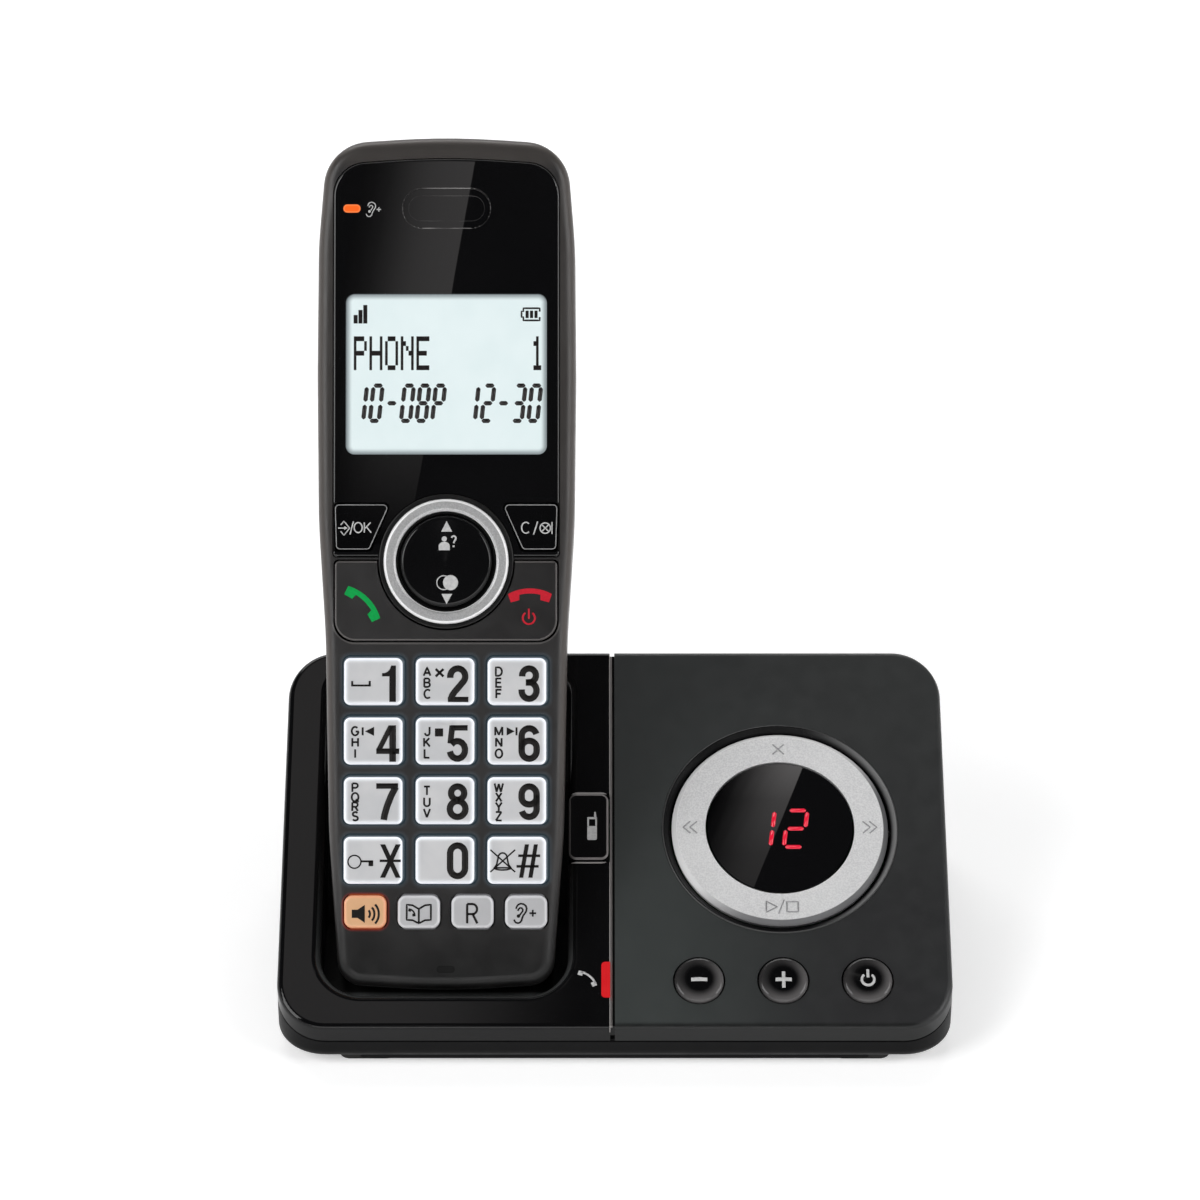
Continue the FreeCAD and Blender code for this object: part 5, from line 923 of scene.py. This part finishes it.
SOFT_LINES = {
    "ok": [(0.2, [(-20.3, 95.45), (-19.67, 96.15), (-18.58, 94.83), (-19.67, 93.46), (-20.3, 94.2)]),
           (0.24, [(-20.8, 94.83), (-19.5, 94.83)]), (0.24, [(-18.5, 93.6), (-17.85, 96.1)])]
          + lines(0.24, shifted(LETTERS["O"], -17.75, 93.95, 1.95) + shifted(LETTERS["K"], -15.75, 93.95, 1.95)),
    "cancel": lines(0.24, shifted(LETTERS["C"], 14.5, 93.85, 2.1))
              + [(0.24, [(16.86, 93.6), (17.65, 96.1)]), (0.24, circle(19.1, 94.83, 1.0)),
                 (0.22, [(18.45, 94.18), (19.75, 95.48)]), (0.22, [(18.45, 95.48), (19.75, 94.18)]),
                 (0.2, [(20.4, 93.7), (20.4, 96.0)])],
}
SOFT_FILLS = {"ok": [[(-19.6, 95.2), (-19.6, 94.46), (-18.95, 94.83)]], "cancel": []}
SOFT_FRAMES = {"ok": [(-x, y) for x, y in SOFT_FRAME][::-1], "cancel": SOFT_FRAME}
for which, strokes in SOFT_LINES.items():
    printed(which + "_signs", which + "_key", which + "_key", on_handset(), pale_ink, strokes,
            SOFT_FILLS[which])
    printed(which + "_line", which + "_key", which + "_key", on_handset(), rim_glint_ink,
            [(0.17, rounded_path(SOFT_FRAMES[which], 0.7))])

# The call and end bar is satin plastic like the housing and rocks to either side.
# A green receiver is printed on its left, and a red one with the sign for off on its right.
bar = Shader("call_satin")
x, y = local(bar, HANDSET)[:2]
tone = bar.mix(bar.ramp(x, -21, 21), srgb(46, 45, 45), srgb(37, 36, 36))
# Painted highlight: a pale line round the bar's edges.
dress(satin(bar, bar.mix(line_between(bar, bar_edge(bar, x, y), -0.28, 0.3), tone, srgb(88, 85, 84))), "call_end_key")


def screen_ink(name, colour):
    """Matt ink of one colour, as it comes through the mesh of a printing screen."""
    return ink(name, shade(colour, 0.93), shade(colour, 1.06), rough=0.5, gleam=0.2)


RECEIVER = (bow(4.4, 1.12) + [(3.83, -2.81), (2.12, -2.35)]
            + [(x, y - 1.02) for x, y in bow(2.12, 0.26, 8)][::-1] + [(-2.12, -2.35), (-3.83, -2.81)])
printed("call_picture", "call_end_key", "call_end_key", on_handset(),
        screen_ink("green_ink", srgb(0, 158, 72)),
        fills=shifted([RECEIVER], -14.95, 81.35, 0.99, -45.2))
printed("end_picture", "call_end_key", "call_end_key", on_handset(),
        screen_ink("red_ink", srgb(196, 28, 46)),
        [(0.36, arc(15.95, 77.5, 1.17, 1.17, 125, 415, 24)), (0.36, [(15.95, 77.35), (15.95, 79.3)])],
        shifted([RECEIVER], 16.15, 83.2, 0.96))

# The twelve numbered keys are clear acrylic caps, white behind and lit from below.
# Light runs round their edges, and their figures and letters are printed in near-black.
lit_key = Shader("white_key")
x, y = local(lit_key, HANDSET)[:2]
inset = key_edge(lit_key, x, y, 0.14, 0.2, 0.3, 0.22)
cloud = lit_key.cloudy(160, 3, srgb(196, 197, 199), srgb(206, 206, 207))
rim = lit_key.math("POWER", lit_key.ramp(inset, -1.2, -0.05, smooth=False), 2.4)
skirt = lit_key.ramp(inset, -0.08, 0.16)
face = lit_key.mix(rim, cloud, srgb(236, 238, 242))
light = lit_key.mix(rim, (0.03, 0.03, 0.031, 1), (0.66, 0.69, 0.76, 1))
dress(lit_key.finish(Base_Color=lit_key.mix(skirt, face, srgb(70, 80, 88)), Roughness=0.24, Specular_IOR_Level=0.35,
                     Emission_Color=lit_key.mix(skirt, light, (0.03, 0.045, 0.055, 1)), Emission_Strength=0.6),
      *["key_" + sign for sign in "1234567890"], "key_star", "key_hash")
figure_ink = screen_ink("figure_ink", srgb(18, 15, 14))
upper, lower = arc(0.2925, 0.70, 0.205, 0.2175, 0, 180), arc(0.2925, 0.30, 0.205, 0.2175, 180, 360)
six = [(0.165, lower + arc(0.2925, 0.39, 0.205, 0.185, 0, 180) + [lower[0]]),
       (0.165, [(0.0875, 0.33)] + arc(0.2925, 0.70, 0.205, 0.2175, 180, 16))]
FIGURES = {
    "0": [(0.165, upper + lower + [upper[0]])],
    "2": [(0.165, [(0.0875, 0.66)] + arc(0.2925, 0.70, 0.205, 0.2175, 180, -38)
           + [(0.34, 0.43), (0.21, 0.28), (0.135, 0.17), (0.105, 0.05)]), (0.135, [(0.02, 0.0675), (0.585, 0.0675)])],
    "3": [(0.165, arc(0.29, 0.725, 0.19, 0.1925, 188, -88) + [(0.2, 0.5325)]),
          (0.165, [(0.2, 0.5325)] + arc(0.29, 0.31, 0.205, 0.2275, 88, -188))],
    "4": [(0.17, [(0.45, 1), (0.45, 0)]), (0.14, [(0, 0.29), (0.63, 0.29)]), (0.13, [(0.40, 0.97), (0.065, 0.31)])],
    "5": [(0.14, [(0.1, 0.93), (0.565, 0.93)]), (0.15, [(0.145, 0.99), (0.09, 0.50)]),
          (0.165, arc(0.285, 0.325, 0.21, 0.2425, 142, -170))],
    "6": six,
    "7": [(0.14, [(0, 0.93), (0.6, 0.93)]), (0.17, [(0.535, 0.90), (0.41, 0.66), (0.30, 0.38), (0.235, 0.15),
                                                     (0.21, 0)])],
    "8": [(0.165, arc(0.2925, 0.735, 0.18, 0.1825, 0, 360, 24)[:-1] + [(0.4725, 0.735)]),
          (0.165, arc(0.2925, 0.30, 0.215, 0.2175, 0, 360, 24)[:-1] + [(0.5075, 0.30)])],
    "9": [(width, [(0.585 - x, 1 - y) for x, y in path]) for width, path in six],
}
ONE = [(0.335, 0), (0.515, 0), (0.515, 1), (0.385, 1), (0.35, 0.9), (0.29, 0.83), (0.21, 0.795), (0.135, 0.79),
       (0.135, 0.7), (0.335, 0.7)]
KEYS = {  # letters, further strokes and further filled shapes of each key, from its middle
    "1": ("", [(0.4, [(-4.2, -0.08), (-4.2, -1.1)]), (0.38, [(-4.4, -0.95), (-0.62, -0.95)]),
               (0.4, [(-0.82, -0.08), (-0.82, -1.1)])], []),
    "2": ("ABC", [(0.48, [(-1.95, 0.78), (-0.45, 2.22)]), (0.48, [(-1.95, 2.22), (-0.45, 0.78)])], []),
    "3": ("DEF", [], []),
    "4": ("GHI", [(0.38, [(-2.17, 0.92), (-2.17, 2.46)])], [[(-1.72, 1.69), (0.02, 0.82), (0.02, 2.56)]]),
    "5": ("JKL", [], [bar_shape(-2.08, -0.5, 0.7, 2.25)]),
    "6": ("MNO", [(0.38, [(-0.2, 0.92), (-0.2, 2.46)])], [[(-0.55, 1.69), (-2.1, 2.5), (-2.1, 0.88)]]),
    "7": ("PQRS", [], []), "8": ("TUV", [], []), "9": ("WXYZ", [], []), "0": ("", [], []),
    "star": ("", [(0.27, circle(-3.7, -0.45, 1.24)), (0.38, [(-2.45, -0.36), (-0.1, -0.36)])],
             [bar_shape(-1.0, -0.1, -1.28, -0.2),
              [(1.22, -3.5), (2.2, -3.5), (5.18, 2.9), (4.2, 2.9)],
              [(4.2, -3.5), (5.18, -3.5), (2.2, 2.9), (1.22, 2.9)],
              bar_shape(1.15, 5.2, -0.5, -0.02)]),
    "hash": ("", [(0.28, [(-5.2, 1.85), (-0.45, -2.4)]), (0.28, [(-0.45, 1.85), (-5.2, -2.4)]),
                  (0.32, [(-4.5, -1.7), (-4.0, -1.0), (-3.75, 0.1)] + arc(-2.85, 0.3, 0.88, 0.95, 180, 0, 10)
                   + [(-1.95, 0.1), (-1.7, -1.0), (-1.2, -1.7)]),
                  (0.3, arc(-2.85, -1.6, 1.65, 0.42, 180, 360, 12)), (0.3, [(-4.4, -1.6), (-1.3, -1.6)])],
             [[(0.3, -3.5), (1.11, -3.5), (2.22, 2.9), (1.41, 2.9)],
              [(2.08, -3.5), (2.89, -3.5), (3.93, 2.9), (3.15, 2.9)],
              bar_shape(0.15, 4.35, 0.46, 0.96), bar_shape(-0.18, 4.07, -1.57, -1.07)]),
}
# Each row of keys, from the foot up, with how far its figures stand below their middle line.
ROWS = ((("star", "0", "hash"), 3.75), (("7", "8", "9"), 3.87), (("4", "5", "6"), 4.15), (("1", "2", "3"), 4.1))
FIGURE_LEFT, FIGURE_HIGH, LETTER_HIGH = (0.45, 0.25, 0.18), 7.0, 1.62
for row, (signs, low) in enumerate(ROWS):
    for column, sign in enumerate(signs):
        letters, strokes, fills = KEYS[sign]
        strokes, fills = list(strokes), list(fills)
        for width, path in FIGURES.get(sign, []):
            strokes += lines(width * 7.5, shifted([path], FIGURE_LEFT[column], -low, FIGURE_HIGH))
        if sign == "1":
            fills += shifted([ONE], 0.6, -low, FIGURE_HIGH)
        pitch = 1.83 if len(letters) == 4 else 2.15
        for k, letter in enumerate(letters):
            across = max(x for path in LETTERS[letter] for x, y in path) + (0.4 if letter == "I" else 0)
            middle = -0.42 + pitch * ((len(letters) - 1) / 2 - k)
            strokes += lines(0.37, shifted(LETTERS[letter], -3.6 - across * LETTER_HIGH / 2, middle - LETTER_HIGH / 2,
                                           LETTER_HIGH))
        at = on_handset((column - 1) * PITCH_X, FIRST_Y + row * PITCH_Y)
        printed(f"figures_{sign}", f"key_{sign}", f"key_{sign}", at, figure_ink, strokes, fills)

# Four small keys below: hands-free in amber, and phone book, recall and louder sound in grey.
# They are the same lit acrylic, dimmer, with a pale rim.
def small_key(name, colour, rim_colour, glow_colour):
    """A lit cap with a pale rim, which glows in the rim's own colour."""
    skin = Shader(name)
    x, y = local(skin, HANDSET)[:2]
    rim = skin.ramp(small_edge(skin, nearest_column(skin, x, SMALL_PITCH / 2, SMALL_PITCH), y), -0.7, -0.2)
    tone = skin.cloudy(160, 3, shade(colour, 0.97), shade(colour, 1.03))
    return skin.finish(Base_Color=skin.mix(rim, tone, rim_colour), Roughness=0.24,
                       Emission_Color=skin.mix(rim, (0.01, 0.01, 0.01, 1), glow_colour), Emission_Strength=0.4)


dress(small_key("grey_key", srgb(186, 186, 188), srgb(214, 214, 216), (0.2, 0.2, 0.21, 1)),
      "phonebook_key", "recall_key", "boost_key")
dress(small_key("orange_key", srgb(222, 174, 132), srgb(240, 178, 138), (0.28, 0.06, 0.02, 1)), "speaker_key")
book = [[(-2.1, -1.42), (-2.1, 1.5), (-0.96, 1.36), (0.22, 0.66), (0.22, -2.1), (-0.96, -1.5), (-2.1, -1.42)],
        [(2.54, -1.42), (2.54, 1.5), (1.4, 1.36), (0.22, 0.66), (0.22, -2.1), (1.4, -1.5), (2.54, -1.42)]]
grip, ends = receiver(1.9, 0.22, 0.3, 0.55, 0.45)
SMALL_SIGNS = {
    "speaker_key": ([(0.42, arc(-0.1, -0.4, r, r, -42, 42, 8)) for r in (1.05, 1.9, 2.75)],
                    [[(-2.55, 0.42), (-1.45, 0.42), (-0.04, 1.35), (-0.04, -2.1), (-1.45, -1.15), (-2.55, -1.15)]]),
    "phonebook_key": (lines(0.36, shifted(book, -0.2, -0.1)) + lines(0.3, shifted([grip], -1.05, 0.1, 1, -50)),
                      shifted(ends, -1.05, 0.1, 1, -50)),
    "recall_key": ([(0.44, [(x * 0.8, y) for x, y in path]) for path in shifted(LETTERS["R"], -1.25, -2.2, 3.7)], []),
    "boost_key": (lines(0.34, shifted(EAR, -2.45, -2.3, 1.34) + shifted(plus, 1.3, -0.25, 1.3)),
                  shifted(EAR_DOT, -2.45, -2.3, 1.34)),
}
for place, (name, (strokes, fills)) in enumerate(SMALL_SIGNS.items()):
    printed(name + "_sign", name, name, on_handset((place - 1.5) * SMALL_PITCH, SMALL_Y), figure_ink,
            strokes, fills)

# What lies inside is plain: the capsules are black felt and steel, the boards green, the cells sleeved.
# The carrier of the message ring is an unpainted black moulding.
felt = grained("speaker_black", srgb(14, 14, 14), 0.8, 0.00005, 3000)
dress(felt, "earpiece_speaker", "handset_loudspeaker", "microphone", "base_loudspeaker")
mask = Shader("board_green")
dress(mask.finish(Base_Color=mask.mix(mask.ramp(mask.noise(300, 4), 0.45, 0.55), srgb(18, 70, 36), srgb(26, 92, 48)),
                  Roughness=0.3, Normal=mask.bump(mask.noise(900, 2), 0.00002, 0.5)),
      "base_circuit_board", "handset_circuit_board")
dress(grained("inner_rubber", srgb(70, 70, 70), 0.7), "base_button_membrane", "keypad_membrane", "led_display_module")
dress(grained("carrier_plastic", srgb(28, 28, 28), 0.5), "ring_carrier")
dress(grained("cell_sleeve", srgb(40, 90, 140), 0.35), "battery_cells")
spring = Shader("spring_steel")
dress(spring.finish(Base_Color=spring.mix(spring.noise(700, 2), (0.5, 0.5, 0.5, 1), (0.62, 0.62, 0.6, 1)), Metallic=1.0,
                    Roughness=0.3), "battery_contacts")
